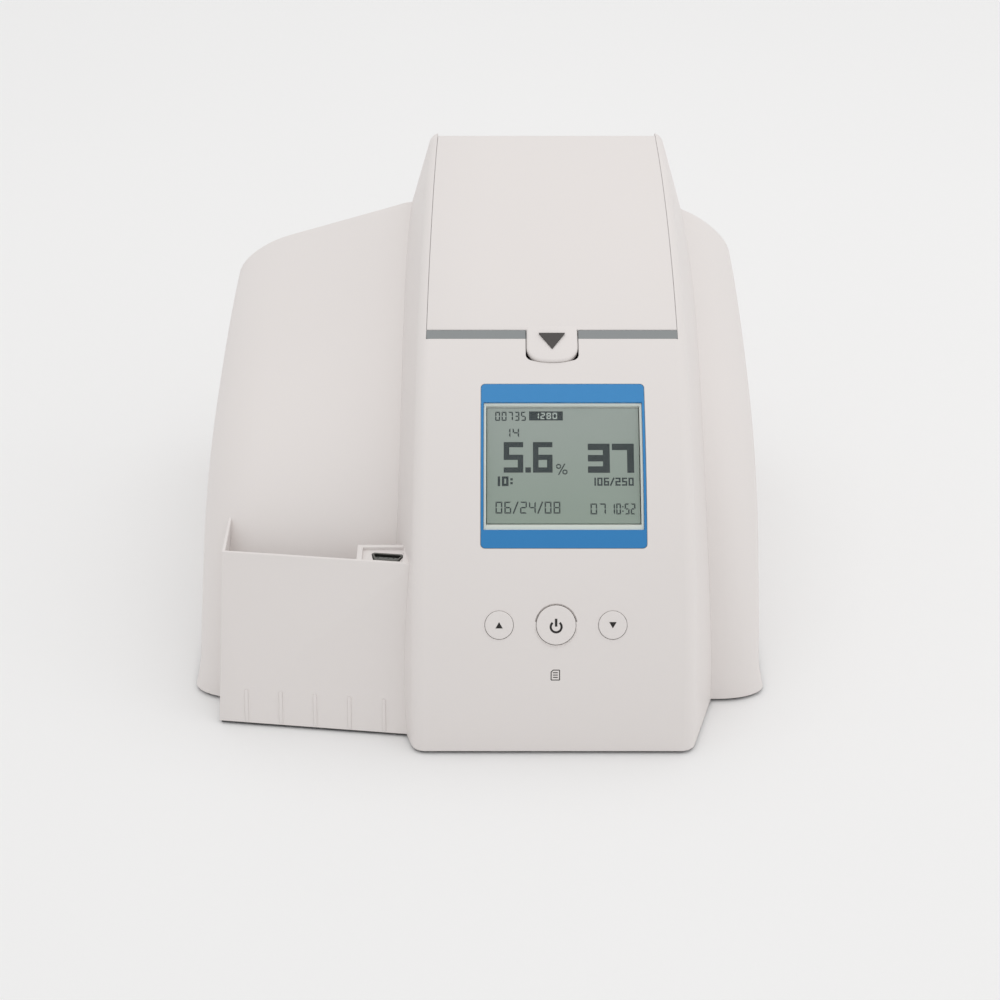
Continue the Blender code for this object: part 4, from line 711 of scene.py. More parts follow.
def bay_solid(name, left_x, left_draft, right_x, front_inset, back_run, low, high):
    """A block behind the bay's leaning front wall, between two heights."""
    stations = []
    for start_x, draft in ((left_x, left_draft), (right_x, 0.0)):
        pairs = []
        for height in (low, high):
            x = start_x + height * draft
            pairs.append((world(x, bay_front(x, height) + front_inset, height), world(x, back_run, height)))
        stations.append(pairs)
    return ladder(name, stations)


def dock_outline(grow):
    """Outline of the connector's opening, narrower at the front."""
    back = DOCK_HALVES[0] + grow
    front = back - mm(1.1)
    half = DOCK_HALVES[1] + grow
    cut = mm(0.6)
    return (
        (-front + cut, -half), (front - cut, -half), (front, -half + cut), (back, half - cut),
        (back - cut, half), (-back + cut, half), (-back, half - cut), (-front, -half + cut))


def dock_matrix():
    return Matrix.Translation(world(DOCK_X, DOCK_RUN, 0)) @ Matrix.Rotation(-math.atan(BAY_TURN), 4, "Z")


def seam_half_width(length, extra):
    """Half the lid's width at a length up the face, with a margin."""
    share = (length - LID_START) / (TOWER.length_at_run(HINGE_RUN) - LID_START)
    return LID_HALF_WIDTHS[0] + (LID_HALF_WIDTHS[1] - LID_HALF_WIDTHS[0]) * share + extra


def hinge_axis():
    return Vector((HINGE_RUN, TOWER_HEIGHT - CROWN_RADIUS))


def hinge_frame(side, drop=0.0):
    """Matrix of a turned piece that points to one side from the hinge's axis, or a little under it."""
    axis = hinge_axis()
    turn = Matrix.Rotation(math.radians(90) * side, 4, "Y")
    return Matrix.Translation(world(TOWER_X, axis.x, axis.y - drop)) @ turn


def tongue_outline(half_width, tip, root, corner, bulge):
    """Outline of the lid's finger tab: straight sides, round corners and a bowed end."""
    bow = arc_points((half_width - corner, tip + bulge + corner), corner, 0, -math.pi / 2, 8)
    bow += [(share * (half_width - corner), tip + bulge) for share in (0.8, 0.6, 0.4, 0.2)]
    right = [(half_width, root), (half_width, (root + tip + corner) / 2)]
    right += [(x, y - bulge * (1 - (x / half_width) ** 2)) for x, y in bow]
    left = [(-x, y) for x, y in reversed(right)]
    return [(TOWER_X + x, y) for x, y in right + [(0.0, tip)] + left]


def dress(obj, body, slot, material, *nodes):
    """Finish a piece, hand it to its body and let it stand for its solids."""
    obj.data.materials.clear()
    obj.data.materials.append(material)
    for polygon in obj.data.polygons:
        polygon.material_index = 0
    obj.data.shade_smooth()
    obj.data.set_sharp_from_angle(angle=math.radians(30))
    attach(obj, body)
    if nodes:
        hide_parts(*nodes)
    return obj


def coat_nodes(material, *names):
    """Give solids that keep their own shape a finished material."""
    for name in names:
        for slot in frame["nodes"][name].material_slots:
            slot.material = material


def casing_body(levels, arc_steps):
    """Wings, tower and printer bay as one hollow shell."""
    outer = eased_levels(levels)
    inner = eased_levels(40, 1.1)
    shell = wing_loft("casing", 0.0, FLOOR_GAP, outer, arc_steps)
    tower = tower_loft("tower_skin", 0.0, FLOOR_GAP, outer, arc_steps)
    behind = bay_front(BAY_LEFT_X, BAY_RIM_HEIGHT) + BAY_ROOT
    right = BAY_RIGHT_X + mm(5)
    over = BAY_RIM_HEIGHT + mm(3)
    floor = FLOOR_GAP + BAY_FLOOR
    wall = BAY_WALL / math.cos(BAY_LEAN)
    bay = bay_solid("bay_walls", BAY_LEFT_X, BAY_LEFT_DRAFT, right, 0.0, behind, FLOOR_GAP, BAY_RIM_HEIGHT)
    space = bay_solid(
        "bay_space", BAY_LEFT_X + BAY_WALL, BAY_LEFT_DRAFT, SHELF_LEFT_X, wall, behind + mm(5), floor, over)
    gap = run_block(
        "bay_gap", (SHELF_LEFT_X - mm(2), right + mm(5)), (SHELF_BACK_RUN, behind + mm(5)), (floor, over))
    combine(bay, "DIFFERENCE", space, gap)
    soften(bay, mm(0.3), 2)
    combine(shell, "UNION", tower, bay)
    hollow = wing_loft("wing_hollow", WALL, -mm(5), inner, 5)
    tower_hollow = tower_loft("tower_hollow", WALL, -mm(5), inner, 4)
    return combine(shell, "DIFFERENCE", hollow, tower_hollow)


def rim_plate(name, inset, low, high):
    """Footprint of the casing between two heights, drawn in from its outline."""
    levels = eased_levels(12)
    plate = wing_loft(name, inset, low, levels, 8)
    tower = tower_loft("rim_tower", inset, low, levels, 8)
    behind = bay_front(BAY_LEFT_X, BAY_RIM_HEIGHT) + BAY_ROOT
    bay = bay_solid("rim_bay", BAY_LEFT_X + inset, BAY_LEFT_DRAFT, BAY_RIGHT_X + mm(5), inset, behind, low, mm(9))
    slab = run_block("rim_slab", (-BODY_HALF_WIDTH, BODY_HALF_WIDTH), (-mm(1), BODY_DEPTH), (low + mm(0.01), high))
    combine(plate, "UNION", tower, bay)
    return combine(plate, "INTERSECT", slab)


def cover_rim():
    """Near-black rim under the casing's edge: painted shade that stands in for the thin shadow gap above the floor.
    """
    inner = rim_plate("rim_inner", SHADE_RIM_SET_IN + SHADE_RIM_WIDTH, -mm(2), mm(4))
    return combine(rim_plate("cover_rim", SHADE_RIM_SET_IN, SHADE_RIM_BASE, FLOOR_GAP), "DIFFERENCE", inner)


def shape_shelf(shell):
    """Sink the connector shelf's top, hollow it from inside and open its socket."""
    wall = BAY_WALL / math.cos(BAY_LEAN)
    low = BAY_RIM_HEIGHT - SHELF_RECESS
    under = low - WALL
    recess = bay_solid(
        "shelf_recess", SHELF_LEFT_X + SHELF_RIM, 0.0, BAY_RIGHT_X - SHELF_RIM, wall,
        SHELF_BACK_RUN - SHELF_RIM, low, BAY_RIM_HEIGHT + mm(2))
    hollow = bay_solid(
        "shelf_hollow", SHELF_LEFT_X + WALL, 0.0, BAY_RIGHT_X - mm(1.5), wall,
        SHELF_BACK_RUN - WALL, FLOOR_GAP + BAY_FLOOR, under)
    socket = prism("shelf_socket", dock_outline(FIT), under - mm(1), low + mm(1), dock_matrix())
    return combine(shell, "DIFFERENCE", recess, hollow, socket)


def add_ribs(shell):
    """Five upright ribs, round in section and at their tops, low on the bay's front wall."""
    ribs = []
    for x in BAY_RIBS:
        low = FLOOR_GAP + mm(0.4)
        foot = world(x, bay_front(x, low), low)
        head = world(x, bay_front(x, BAY_RIB_TOP), BAY_RIB_TOP)
        up = (head - foot).normalized()
        across = Vector((1, -BAY_TURN, 0)).normalized()
        out = across.cross(up).normalized()
        axes = Matrix((across, up, out)).transposed().to_4x4()
        length = (head - foot).length
        rib = block("bay_rib", (-mm(0.65), 0, -mm(0.8)), (mm(0.65), length, mm(0.4)))
        soften(rib, mm(0.35), 3)
        rib.data.transform(Matrix.Translation(foot) @ axes)
        ribs.append(rib)
    return combine(shell, "UNION", *ribs)


def lid_opening():
    """The space above the deck from the face's upper edge to the back wall, and the tab's notch."""
    reach = TOWER.length_at_run(HINGE_RUN)
    stations = []
    for side in (-1, 1):
        pairs = []
        for step in range(41):
            length = FACE_END + (reach - FACE_END) * step / 40
            t = TOWER.t_at_length(length)
            x = TOWER_X + side * seam_half_width(length, FIT)
            pairs.append([world(x, *TOWER.inset(t, depth)) for depth in (WALL + mm(2.5), -mm(4))])
        x = TOWER_X + side * (LID_HALF_WIDTHS[1] + FIT)
        ledge = hinge_axis().y + mm(0.5)
        beyond = BODY_DEPTH + mm(3)
        pairs.append((world(x, beyond, ledge), world(x, beyond, TOWER_HEIGHT + mm(4))))
        stations.append(pairs)
    opening = ladder("lid_opening", stations)
    outline = tongue_outline(
        TAB_HALF_WIDTH + TAB_GAP, TAB_TIP - TAB_GAP, LID_START + mm(1), TAB_NOTCH_CORNER, TAB_BULGE)
    notch = on_face(prism("tab_notch", outline, -mm(2), WALL + mm(2)))
    return opening, notch


def display_outline(half, rows, grow, radius, steps=6):
    """A rounded rectangle about the display's middle line, drawn out on all sides."""
    reach = half + grow
    return rounded_rectangle((DISPLAY_X - reach, rows[0] - grow), (DISPLAY_X + reach, rows[1] + grow), radius, steps)


def display_opening():
    """The film's recess in the casing and the opening behind it."""
    outline = display_outline(BEZEL_WIDTH / 2, BEZEL_ROWS, FIT / 2, mm(1.5))
    recess = on_face(prism("bezel_recess", outline, -mm(2), BEZEL_THICKNESS + FIT / 2))
    outline = display_outline(VIEW_WIDTH / 2, VIEW_ROWS, FRAME_LIP + FIT, mm(0.1), 1)
    return recess, on_face(prism("view_opening", outline, -mm(2), WALL + mm(2)))


def button_openings():
    """Holes for the caps, and the wider slot over the mode button."""
    holes = []
    for name, (x, radius) in BUTTONS.items():
        matrix = face_frame(x, BUTTON_ROW) @ Matrix.Translation((0, -BUTTON_SAG, 0))
        holes.append(cylinder("hole_" + name, radius + BUTTON_GAP, -WALL - mm(1), mm(2), 96, matrix))
    x, radius = BUTTONS["mode"]
    outer = radius + BUTTON_GAP + ARC_SLOT_WIDTH
    outline = arc_outline((0, 0), outer, outer - mm(3), math.radians(9), math.radians(171), 48)
    holes.append(prism("mode_arc", outline, -mm(1), mm(2), face_frame(x, BUTTON_ROW)))
    return holes


def hinge_ears():
    """Ears on both sides of the lid, and the bores for the hinge pin."""
    inner = LID_HALF_WIDTHS[1] + FIT
    half = TOWER_HALF_WIDTH * taper_at(HINGE_RUN)
    end = half - mm(0.6) + FIT
    ears = [
        cylinder("hinge_ear", mm(4.5), inner, half + mm(0.8), 48, hinge_frame(side, mm(1.5))) for side in (-1, 1)]
    bores = [cylinder("pin_bore", PIN_BORE, inner - mm(2), end, 32, hinge_frame(side)) for side in (-1, 1)]
    return ears, bores


def socket_windows():
    """Openings in the back wall for the power jack and the data port."""
    windows = []
    for x, width, height in SOCKETS:
        half = width / 2 + FIT
        low = SOCKET_BASE - FIT
        runs = (BODY_DEPTH - mm(8), BODY_DEPTH + mm(3))
        windows.append(run_block("socket_window", (x - half, x + half), runs, (low, low + height + 2 * FIT)))
    return windows


def front_band():
    """Face of the deck's lip on both sides of the tab, just below the fascia's surface."""
    rows = (FACE_END + mm(0.08), LID_START - mm(0.12))
    strips = []
    for side in (-1, 1):
        ends = sorted((side * (TAB_HALF_WIDTH + TAB_GAP), side * (LID_HALF_WIDTHS[0] + FIT - mm(0.05))))
        strips.append([
            (TOWER_X + ends[0], rows[0]), (TOWER_X + ends[1], rows[0]), (TOWER_X + ends[1], rows[1]),
            (TOWER_X + ends[0], rows[1])])
    return on_face(prisms("front_band", strips, BAND_SINK, BAND_SINK + mm(0.5)))


def lid_solid():
    """Curved lid with a rolled rear edge, its finger tab and the hinge cheeks."""
    end = TOWER.length_at_run(HINGE_RUN)
    axis = hinge_axis()
    path = []
    for step in range(73):
        length = LID_START + (end - LID_START) * step / 72
        t = TOWER.t_at_length(length)
        path.append((length, TOWER.inset(t, 0), TOWER.inset(t, LID_THICKNESS)))
    for step in range(1, 25):
        angle = math.pi / 2 - math.radians(110) * step / 24
        ray = Vector((math.cos(angle), math.sin(angle)))
        path.append((end, axis + ray * CROWN_RADIUS, axis + ray * (CROWN_RADIUS - LID_THICKNESS)))
    stations = []
    for side in (-1, -0.5, 0.5, 1):
        pairs = []
        for length, outer, inner in path:
            x = TOWER_X + side * seam_half_width(length, FIT - LID_SEAM)
            pairs.append((world(x, *outer), world(x, *inner)))
        stations.append(pairs)
    lid = soften(ladder("lid_shell", stations), mm(0.25), 2)
    root = LID_START + mm(2)
    outline = tongue_outline(TAB_HALF_WIDTH, TAB_TIP, root, TAB_CORNER, TAB_BULGE)
    tab = prism("lid_tab", outline, 0.0, LID_THICKNESS)
    for vertex in tab.data.vertices:
        if vertex.co.z < LID_THICKNESS / 2:
            vertex.co.z = -TAB_PROUD * (root - vertex.co.y) / (root - TAB_TIP)
    on_face(soften(tab, mm(0.9), 5))
    radius = CROWN_RADIUS - LID_THICKNESS / 2
    end = LID_HALF_WIDTHS[1]
    cheeks = [cylinder("lid_cheek", radius, end - mm(2.5), end, 64, hinge_frame(side)) for side in (-1, 1)]
    combine(lid, "UNION", tab, *cheeks)
    return combine(lid, "DIFFERENCE", cylinder("lid_bore", PIN_BORE, -mm(50), mm(50), 32, hinge_frame(1)))


def bold_outline(name, lit, width, height, stroke):
    """One square bar of a bold digit; upright bars stop where a level one crosses them."""
    middle = height / 2
    if name in "adg":
        low = {"a": height - stroke, "d": 0.0, "g": middle - stroke / 2}[name]
        return [(0.0, low), (width, low), (width, low + stroke), (0.0, low + stroke)]
    left = width - stroke if name in "bc" else 0.0
    if name in "bf":
        low = middle + stroke / 2 if "g" in lit else middle
        high = height - stroke if "a" in lit else height
    else:
        low = stroke if "d" in lit else 0.0
        high = middle - stroke / 2 if "g" in lit else middle
    return [(left, low), (left + stroke, low), (left + stroke, high), (left, high)]


def segment_outline(name, width, height, stroke, gap):
    """One mitred bar of a seven-segment digit."""
    inner = stroke + gap
    middle = height / 2
    if name == "g":
        return [
            (stroke / 2 + gap, middle), (inner, middle + stroke / 2), (width - inner, middle + stroke / 2),
            (width - stroke / 2 - gap, middle), (width - inner, middle - stroke / 2), (inner, middle - stroke / 2)]
    if name in "ad":
        outline = [(gap, height), (width - gap, height), (width - inner, height - stroke), (inner, height - stroke)]
    else:
        outline = [
            (width, height - gap), (width, middle + gap / 2), (width - stroke, middle + (stroke + gap) / 2),
            (width - stroke, height - inner)]
    if name in "dce":
        outline = [(x, height - y) for x, y in outline]
    if name in "ef":
        outline = [(width - x, y) for x, y in outline]
    return outline


SEGMENTS = {
    "0": "abcdef", "1": "bc", "2": "abged", "3": "abgcd", "4": "fgbc", "5": "afgcd", "6": "afgedc",
    "7": "abc", "8": "abcdefg", "9": "abcfgd",
}


def digit_outlines(text, left, low, width, height, stroke, gap):
    """Outlines of a row of seven-segment digits, with : . and / between them."""
    outlines = []
    x = left
    for sign in text:
        if sign in ":.":
            levels = (height * 0.3, height * 0.7) if sign == ":" else (stroke / 2,)
            for level in levels:
                outlines.append(bar_outline((x, low + level), (x + stroke, low + level), stroke))
            x += stroke + gap
        elif sign == "/":
            outlines.append(bar_outline((x, low), (x + width * 0.7, low + height), stroke))
            x += width * 0.7 + gap
        else:
            for name in SEGMENTS[sign]:
                if stroke > BOLD_STROKE:
                    outline = bold_outline(name, SEGMENTS[sign], width, height, stroke)
                else:
                    outline = segment_outline(name, width, height, stroke, SEGMENT_GAP)
                outlines.append([(x + px, low + py) for px, py in outline])
            x += width + gap
    return outlines


def bar_outline(start, end, stroke):
    """A straight bar between two points."""
    start = Vector(start)
    end = Vector(end)
    along = (end - start).normalized()
    side = Vector((-along.y, along.x)) * stroke / 2
    return [tuple(start - side), tuple(end - side), tuple(end + side), tuple(start + side)]


def arc_outline(centre, radius, stroke, start, end, steps):
    """A stretch of a ring: its outer arc, then its inner arc back."""
    return arc_points(centre, radius, start, end, steps) + arc_points(centre, radius - stroke, end, start, steps)


def ring_halves(centre, radius, stroke):
    """A small ring in two arcs, as a driven segment is split."""
    split = 0.06
    return [arc_outline(centre, radius, stroke, turn + split, turn + math.pi - split, 10) for turn in (0.0, math.pi)]


def window_border(half):
    """Pale band printed on the underside of the window, round the view of the cell."""
    outline = display_outline(half, WINDOW_ROWS, -FIT / 3, mm(0.1), 2)
    border = on_face(prism("window_border", outline, BEZEL_THICKNESS - mm(0.12), BEZEL_THICKNESS - mm(0.04)))
    left, low = display_place(486.0, 524.7)
    right, high = display_place(640.6, 404.7)
    middle = (VIEW_ROWS[0] + VIEW_ROWS[1]) / 2
    outline = rounded_rectangle((DISPLAY_X + left, middle + low), (DISPLAY_X + right, middle + high), mm(0.1), 2)
    return combine(border, "DIFFERENCE", on_face(prism("border_view", outline, 0.0, BEZEL_THICKNESS + mm(1))))


def panel_matrix(node):
    """Flat frame on a tilted panel's front: X across, Y up it and Z outward."""
    mesh = frame["nodes"][node].data
    outward = face_frame(DISPLAY_X, (VIEW_ROWS[0] + VIEW_ROWS[1]) / 2).to_3x3().col[2]
    reach = max(vertex.co.dot(outward) for vertex in mesh.vertices)
    front = [vertex.co for vertex in mesh.vertices if vertex.co.dot(outward) > reach - mm(0.1)]
    middle = sum(front, Vector()) / len(front)
    axes = (Vector((1, 0, 0)), outward.cross(Vector((1, 0, 0))), outward)
    return Matrix.Translation(middle) @ Matrix(axes).transposed().to_4x4()


def display_place(column, row):
    """Place on the display, from its middle, of a column and a row of the picture."""
    return (column - MIDDLE_COLUMN) * COLUMN_WIDTH, (MIDDLE_ROW - row) * ROW_HEIGHT


def display_marks():
    """Generic readings: a large value, a second value, a time, a date and small counts."""
    dark = []
    light = []

    def row(text, column, row_low, columns, row_high, stroke, gap, target=dark):
        left, low = display_place(column, row_low)
        width = columns * COLUMN_WIDTH
        height = (row_low - row_high) * ROW_HEIGHT
        target.extend(digit_outlines(text, left, low, width, height, mm(stroke), mm(gap)))

    row("00735", 495.0, 420.0, 5.0, 410.8, 0.44, 0.5)
    row("14", 504.0, 436.8, 6.4, 427.4, 0.46, 0.75)
    row("5.6", 503.6, 472.0, 19.6, 441.4, 1.85, 0.7)
    row("37", 588.0, 472.2, 22.0, 443.0, 2.3, 0.75)
    row("10:", 493.4, 485.4, 6.6, 475.8, 0.8, 0.6)
    row("106/250", 590.6, 485.0, 5.2, 477.0, 0.52, 0.45)
    row("06/24/08", 495.4, 512.6, 6.8, 500.8, 0.46, 0.68)
    row("07", 590.0, 513.4, 6.6, 502.6, 0.46, 0.7)
    row("10:52", 609.6, 513.4, 4.8, 502.6, 0.46, 0.38)
    left, low = display_place(529.2, 419.6)
    right, high = display_place(563.3, 410.4)
    dark.append([(left, low), (right, low), (right, high), (left, high)])
    row("1280", 534.6, 418.2, 4.6, 411.8, 0.42, 0.5, light)
    thin = mm(0.42)
    for place in (display_place(558.6, 465.8), display_place(564.9, 471.4)):
        dark.extend(ring_halves(place, mm(0.9), thin))
    dark.append(bar_outline(display_place(558.4, 474.2), display_place(564.8, 463.2), thin))
    return dark, light


def button_profile(radius):
    """Section of a cap: flange, plunger wall, rounded rim and a barely domed top."""
    flange = radius + mm(1.1)
    foot = CAP_SEAT - mm(0.9)
    rim = mm(0.3)
    points = [(0, foot), (flange, foot), (flange, CAP_SEAT), (radius, CAP_SEAT)]
    points += arc_points((radius - rim, CAP_TOP - rim), rim, 0, math.pi / 2, 5)
    points += [(radius * share, CAP_TOP + CAP_DOME * (1 - share * share)) for share in (0.75, 0.5, 0.25)]
    return points + [(0, CAP_TOP + CAP_DOME)]


def page_outlines(x, length):
    """A small sheet with a folded corner and three lines, the usual sign for paper."""
    half = mm(1.4)
    tall = mm(1.7)
    stroke = mm(0.3)
    fold = mm(0.7)
    corners = [(-half, -tall), (half, -tall), (half, tall), (-half + fold, tall), (-half, tall - fold)]
    outlines = [bar_outline(*ends, stroke) for ends in zip(corners, corners[1:] + corners[:1])]
    for level in (-0.8, 0.0, 0.8):
        outlines.append(bar_outline((-mm(0.8), mm(level)), (mm(0.8), mm(level)), stroke))
    return [[(x + px, length + py) for px, py in outline] for outline in outlines]


def colour_setting(name, description, default):
    return bpy.props.FloatVectorProperty(
        name=name, description=description, subtype="COLOR", default=default, min=0.0, max=1.0)


def number_setting(name, description, default, low, high, **more):
    return bpy.props.FloatProperty(name=name, description=description, default=default, min=low, max=high, **more)


def count_setting(name, description, default, low, high):
    return bpy.props.IntProperty(name=name, description=description, default=default, min=low, max=high)


class AnalyzerCasingSettings(bpy.types.PropertyGroup):
    colour: colour_setting("Casing Colour", "Colour of the moulded casing, lid and buttons", (0.805, 0.766, 0.749))
    roughness: number_setting("Roughness", "How matt the moulded plastic is", 0.46, 0.1, 1.0)
    grain: number_setting("Grain", "Height of the moulded grain, as a share of the usual one", 1.0, 0.0, 4.0)
    edge: number_setting(
        "Edge Softness", "Radius that the moulded edges catch light with", 0.00025, 0.0, 0.002, unit="LENGTH")
    levels: count_setting("Levels", "Rows of faces up the casing's curves", 96, 24, 160)
    arc_steps: count_setting("Corner Steps", "Columns of faces round each vertical corner", 10, 3, 24)


class AnalyzerDisplaySettings(bpy.types.PropertyGroup):
    # The film's top colour is lighter than its bottom one as painted light.
    film_lit_top: colour_setting("Film Top", "Blue of the display's film at its upper edge", (0.045, 0.26, 0.58))
    film_shaded_low: colour_setting("Film Bottom", "Blue of the display's film at its lower edge", (0.032, 0.225, 0.53))
    # The cell's top colour is lighter than its bottom one as painted light; the label's pale print is made from it.
    cell_lit_top: colour_setting("Cell Top", "Grey-green of the display cell at its upper edge", (0.33, 0.378, 0.35))
    cell_shaded_low: colour_setting("Cell Bottom", "Grey-green of the display cell at its lower edge", (0.27, 0.335, 0.285))
    digits: colour_setting("Digits", "Colour of a driven segment", (0.042, 0.054, 0.056))
    surround: colour_setting("Surround", "Colour of the pale frame round the cell", (0.71, 0.76, 0.70))


class AnalyzerControlSettings(bpy.types.PropertyGroup):
    ink: colour_setting("Ink", "Colour of the printed symbols", (0.032, 0.03, 0.029))
    ink_height: number_setting(
        "Ink Height", "How far printed symbols stand proud", 0.00003, 0.0, 0.0005, unit="LENGTH")


class AnalyzerStageSettings(bpy.types.PropertyGroup):
    lens: number_setting("Lens", "Focal length of the camera in millimetres", 79.2, 20.0, 200.0)
    camera_place: bpy.props.FloatVectorProperty(
        name="Camera", description="Place of the camera", subtype="TRANSLATION", unit="LENGTH",
        default=(0.0072, -0.6963, 0.4525))
    camera_pitch: bpy.props.FloatProperty(
        name="Pitch", description="How far the camera looks down", subtype="ANGLE", default=math.radians(31.0))
    floor_colour: colour_setting("Floor", "Colour of the floor", (0.915, 0.915, 0.915))
    sky: number_setting("Sky", "Strength of the even light from all round", 0.775, 0.0, 3.0)


class AnalyzerSettings(bpy.types.PropertyGroup):
    casing: bpy.props.PointerProperty(type=AnalyzerCasingSettings)
    display: bpy.props.PointerProperty(type=AnalyzerDisplaySettings)
    controls: bpy.props.PointerProperty(type=AnalyzerControlSettings)
    stage: bpy.props.PointerProperty(type=AnalyzerStageSettings)


def casing_material(settings):
    material = bpy.data.materials.get("warm_white_moulding")
    if material is None:
        material = moulded_plastic(
            "warm_white_moulding", tuple(settings.colour), settings.roughness, settings.grain, settings.edge)
    return material


class ANALYZER_OT_stage(bpy.types.Operator):
    """Add the floor, the soft studio light and the camera"""

    bl_idname = "analyzer.stage"
    bl_label = "Stage"

    def execute(self, context):
        settings = context.scene.analyzer.stage
        bm = bmesh.new()
        bmesh.ops.create_grid(bm, x_segments=8, y_segments=8, size=4.0)
        floor = add_piece("floor", bm)
        floor.data.materials.append(floor_paint(tuple(settings.floor_colour)))
        camera = bpy.data.objects.new("camera", bpy.data.cameras.new("camera"))
        camera.data.lens = settings.lens
        camera.data.clip_start = 0.02
        camera.location = settings.camera_place
        camera.rotation_euler = (math.radians(90) - settings.camera_pitch, 0, 0)
        context.scene.collection.objects.link(camera)
        context.scene.camera = camera
        for lamp in LAMPS:
            self.add_lamp(context, *lamp)
        self.set_sky(context, settings)
        context.scene.view_settings.view_transform = "Standard"
        return {"FINISHED"}

    def add_lamp(self, context, name, place, target, size, power):
        lamp = bpy.data.objects.new(name, bpy.data.lights.new(name, "AREA"))
        lamp.data.size = size
        lamp.data.energy = power
        lamp.location = place
        direction = Vector(target) - Vector(place)
        lamp.rotation_euler = direction.to_track_quat("-Z", "Y").to_euler()
        context.scene.collection.objects.link(lamp)

    def set_sky(self, context, settings):
        sky = bpy.data.worlds.new("studio")
        sky.use_nodes = True
        context.scene.world = sky
        nodes = sky.node_tree.nodes
        links = sky.node_tree.links
        background = nodes["Background"]
        background.inputs["Color"].default_value = (1.0, 0.995, 0.99, 1.0)
        background.inputs["Strength"].default_value = settings.sky
        plain = nodes.new("ShaderNodeBackground")
        plain.inputs["Color"].default_value = (0.86, 0.86, 0.86, 1.0)
        rays = nodes.new("ShaderNodeLightPath")
        seen = nodes.new("ShaderNodeMath")
        seen.operation = "MAXIMUM"
        mix = nodes.new("ShaderNodeMixShader")
        links.new(rays.outputs["Is Camera Ray"], seen.inputs[0])
        links.new(rays.outputs["Is Transmission Ray"], seen.inputs[1])
        links.new(seen.outputs[0], mix.inputs[0])
        links.new(background.outputs[0], mix.inputs[1])
        links.new(plain.outputs[0], mix.inputs[2])
        links.new(mix.outputs[0], nodes["World Output"].inputs[0])


class ANALYZER_OT_casing(bpy.types.Operator):
    """Build the casing with its tower, wings and printer bay"""

    bl_idname = "analyzer.casing"
    bl_label = "Casing"

    def execute(self, context):
        settings = context.scene.analyzer.casing
        material = casing_material(settings)
        shell = casing_body(settings.levels, settings.arc_steps)
        shape_shelf(shell)
        add_ribs(shell)
        combine(shell, "DIFFERENCE", *lid_opening(), *display_opening(), *button_openings())
        ears, bores = hinge_ears()
        combine(shell, "UNION", *ears)
        combine(shell, "DIFFERENCE", *bores, *socket_windows())
        dress(shell, "base", "warm_white_plastic", material, "upper_housing")
        # Near-black rim and bottom cover: painted shade that stands in for the shadow gap under the casing's edge.
        grey = moulded_plastic("cover_moulding", (0.05, 0.05, 0.052), 0.5)
        dress(cover_rim(), "base", "warm_white_plastic", grey)
        coat_nodes(grey, "bottom_cover")
        return {"FINISHED"}


class ANALYZER_OT_lid(bpy.types.Operator):
    """Build the lid with its finger tab and printed arrow"""

    bl_idname = "analyzer.lid"
    bl_label = "Lid"

    def execute(self, context):
        settings = context.scene.analyzer
        dress(lid_solid(), "lid", "warm_white_plastic", casing_material(settings.casing), "lid")
        ink = flat_ink("arrow_ink", scaled(tuple(settings.controls.ink), ARROW_TONE))
        arrow = on_face(prism("lid_arrow", ARROW, -TAB_PROUD - settings.controls.ink_height, mm(0.3)))
        dress(arrow, "lid", "dark_plastic", ink)
        grey = moulded_plastic("grey_moulding", (0.265, 0.28, 0.285), 0.5, 1.0, mm(0.15))
        coat_nodes(grey, "deck", "lid_liner")
        dress(front_band(), "base", "grey_plastic", grey)
        return {"FINISHED"}


class ANALYZER_OT_display(bpy.types.Operator):
    """Build the blue film, the window and the readings on the display"""

    bl_idname = "analyzer.display"
    bl_label = "Display"

    def execute(self, context):
        settings = context.scene.analyzer.display
        # The film and the cell grade from a darker bottom to a lighter top as painted light.
        film = printed_film("blue_print", tuple(settings.film_shaded_low), tuple(settings.film_lit_top))
        outline = display_outline(BEZEL_WIDTH / 2, BEZEL_ROWS, 0.0, mm(1.4))
        bezel = on_face(prism("display_film", outline, 0.0, BEZEL_THICKNESS))
        low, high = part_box("display_window")
        half = (high.x - low.x) / 2 + FIT / 3
        outline = display_outline(half, WINDOW_ROWS, 0.0, mm(0.15), 2)
        combine(bezel, "DIFFERENCE", on_face(prism("film_window", outline, -mm(1), BEZEL_THICKNESS + mm(1))))
        dress(bezel, "base", "blue_film", film, "display_bezel")
        outline = display_outline(half, WINDOW_ROWS, -FIT / 3, mm(0.1), 2)
        pane = on_face(prism("display_pane", outline, mm(0.05), BEZEL_THICKNESS - mm(0.14)))
        dress(pane, "base", "clear_acrylic", clear_pane("clear_window"), "display_window")
        coat_nodes(reflective_lcd("display_cell", tuple(settings.cell_lit_top), tuple(settings.cell_shaded_low)), "lcd_panel")
        surround = moulded_plastic("pale_surround", tuple(settings.surround), 0.5, 0.5, mm(0.08))
        coat_nodes(surround, "lcd_frame")
        dress(window_border(half), "base", "pale_frame", surround)
        dark, light = display_marks()
        matrix = panel_matrix("lcd_panel")
        marks = prisms("display_readings", dark, -mm(0.05), READING_TOP, matrix)
        dress(marks, "base", "dark_plastic", flat_ink("segment_dark", tuple(settings.digits)))
        marks = prisms("display_label", light, 0.0, READING_TOP + mm(0.01), matrix)
        dress(marks, "base", "lcd_glass", flat_ink("segment_light", scaled(tuple(settings.cell_lit_top), 1.35)))
        return {"FINISHED"}


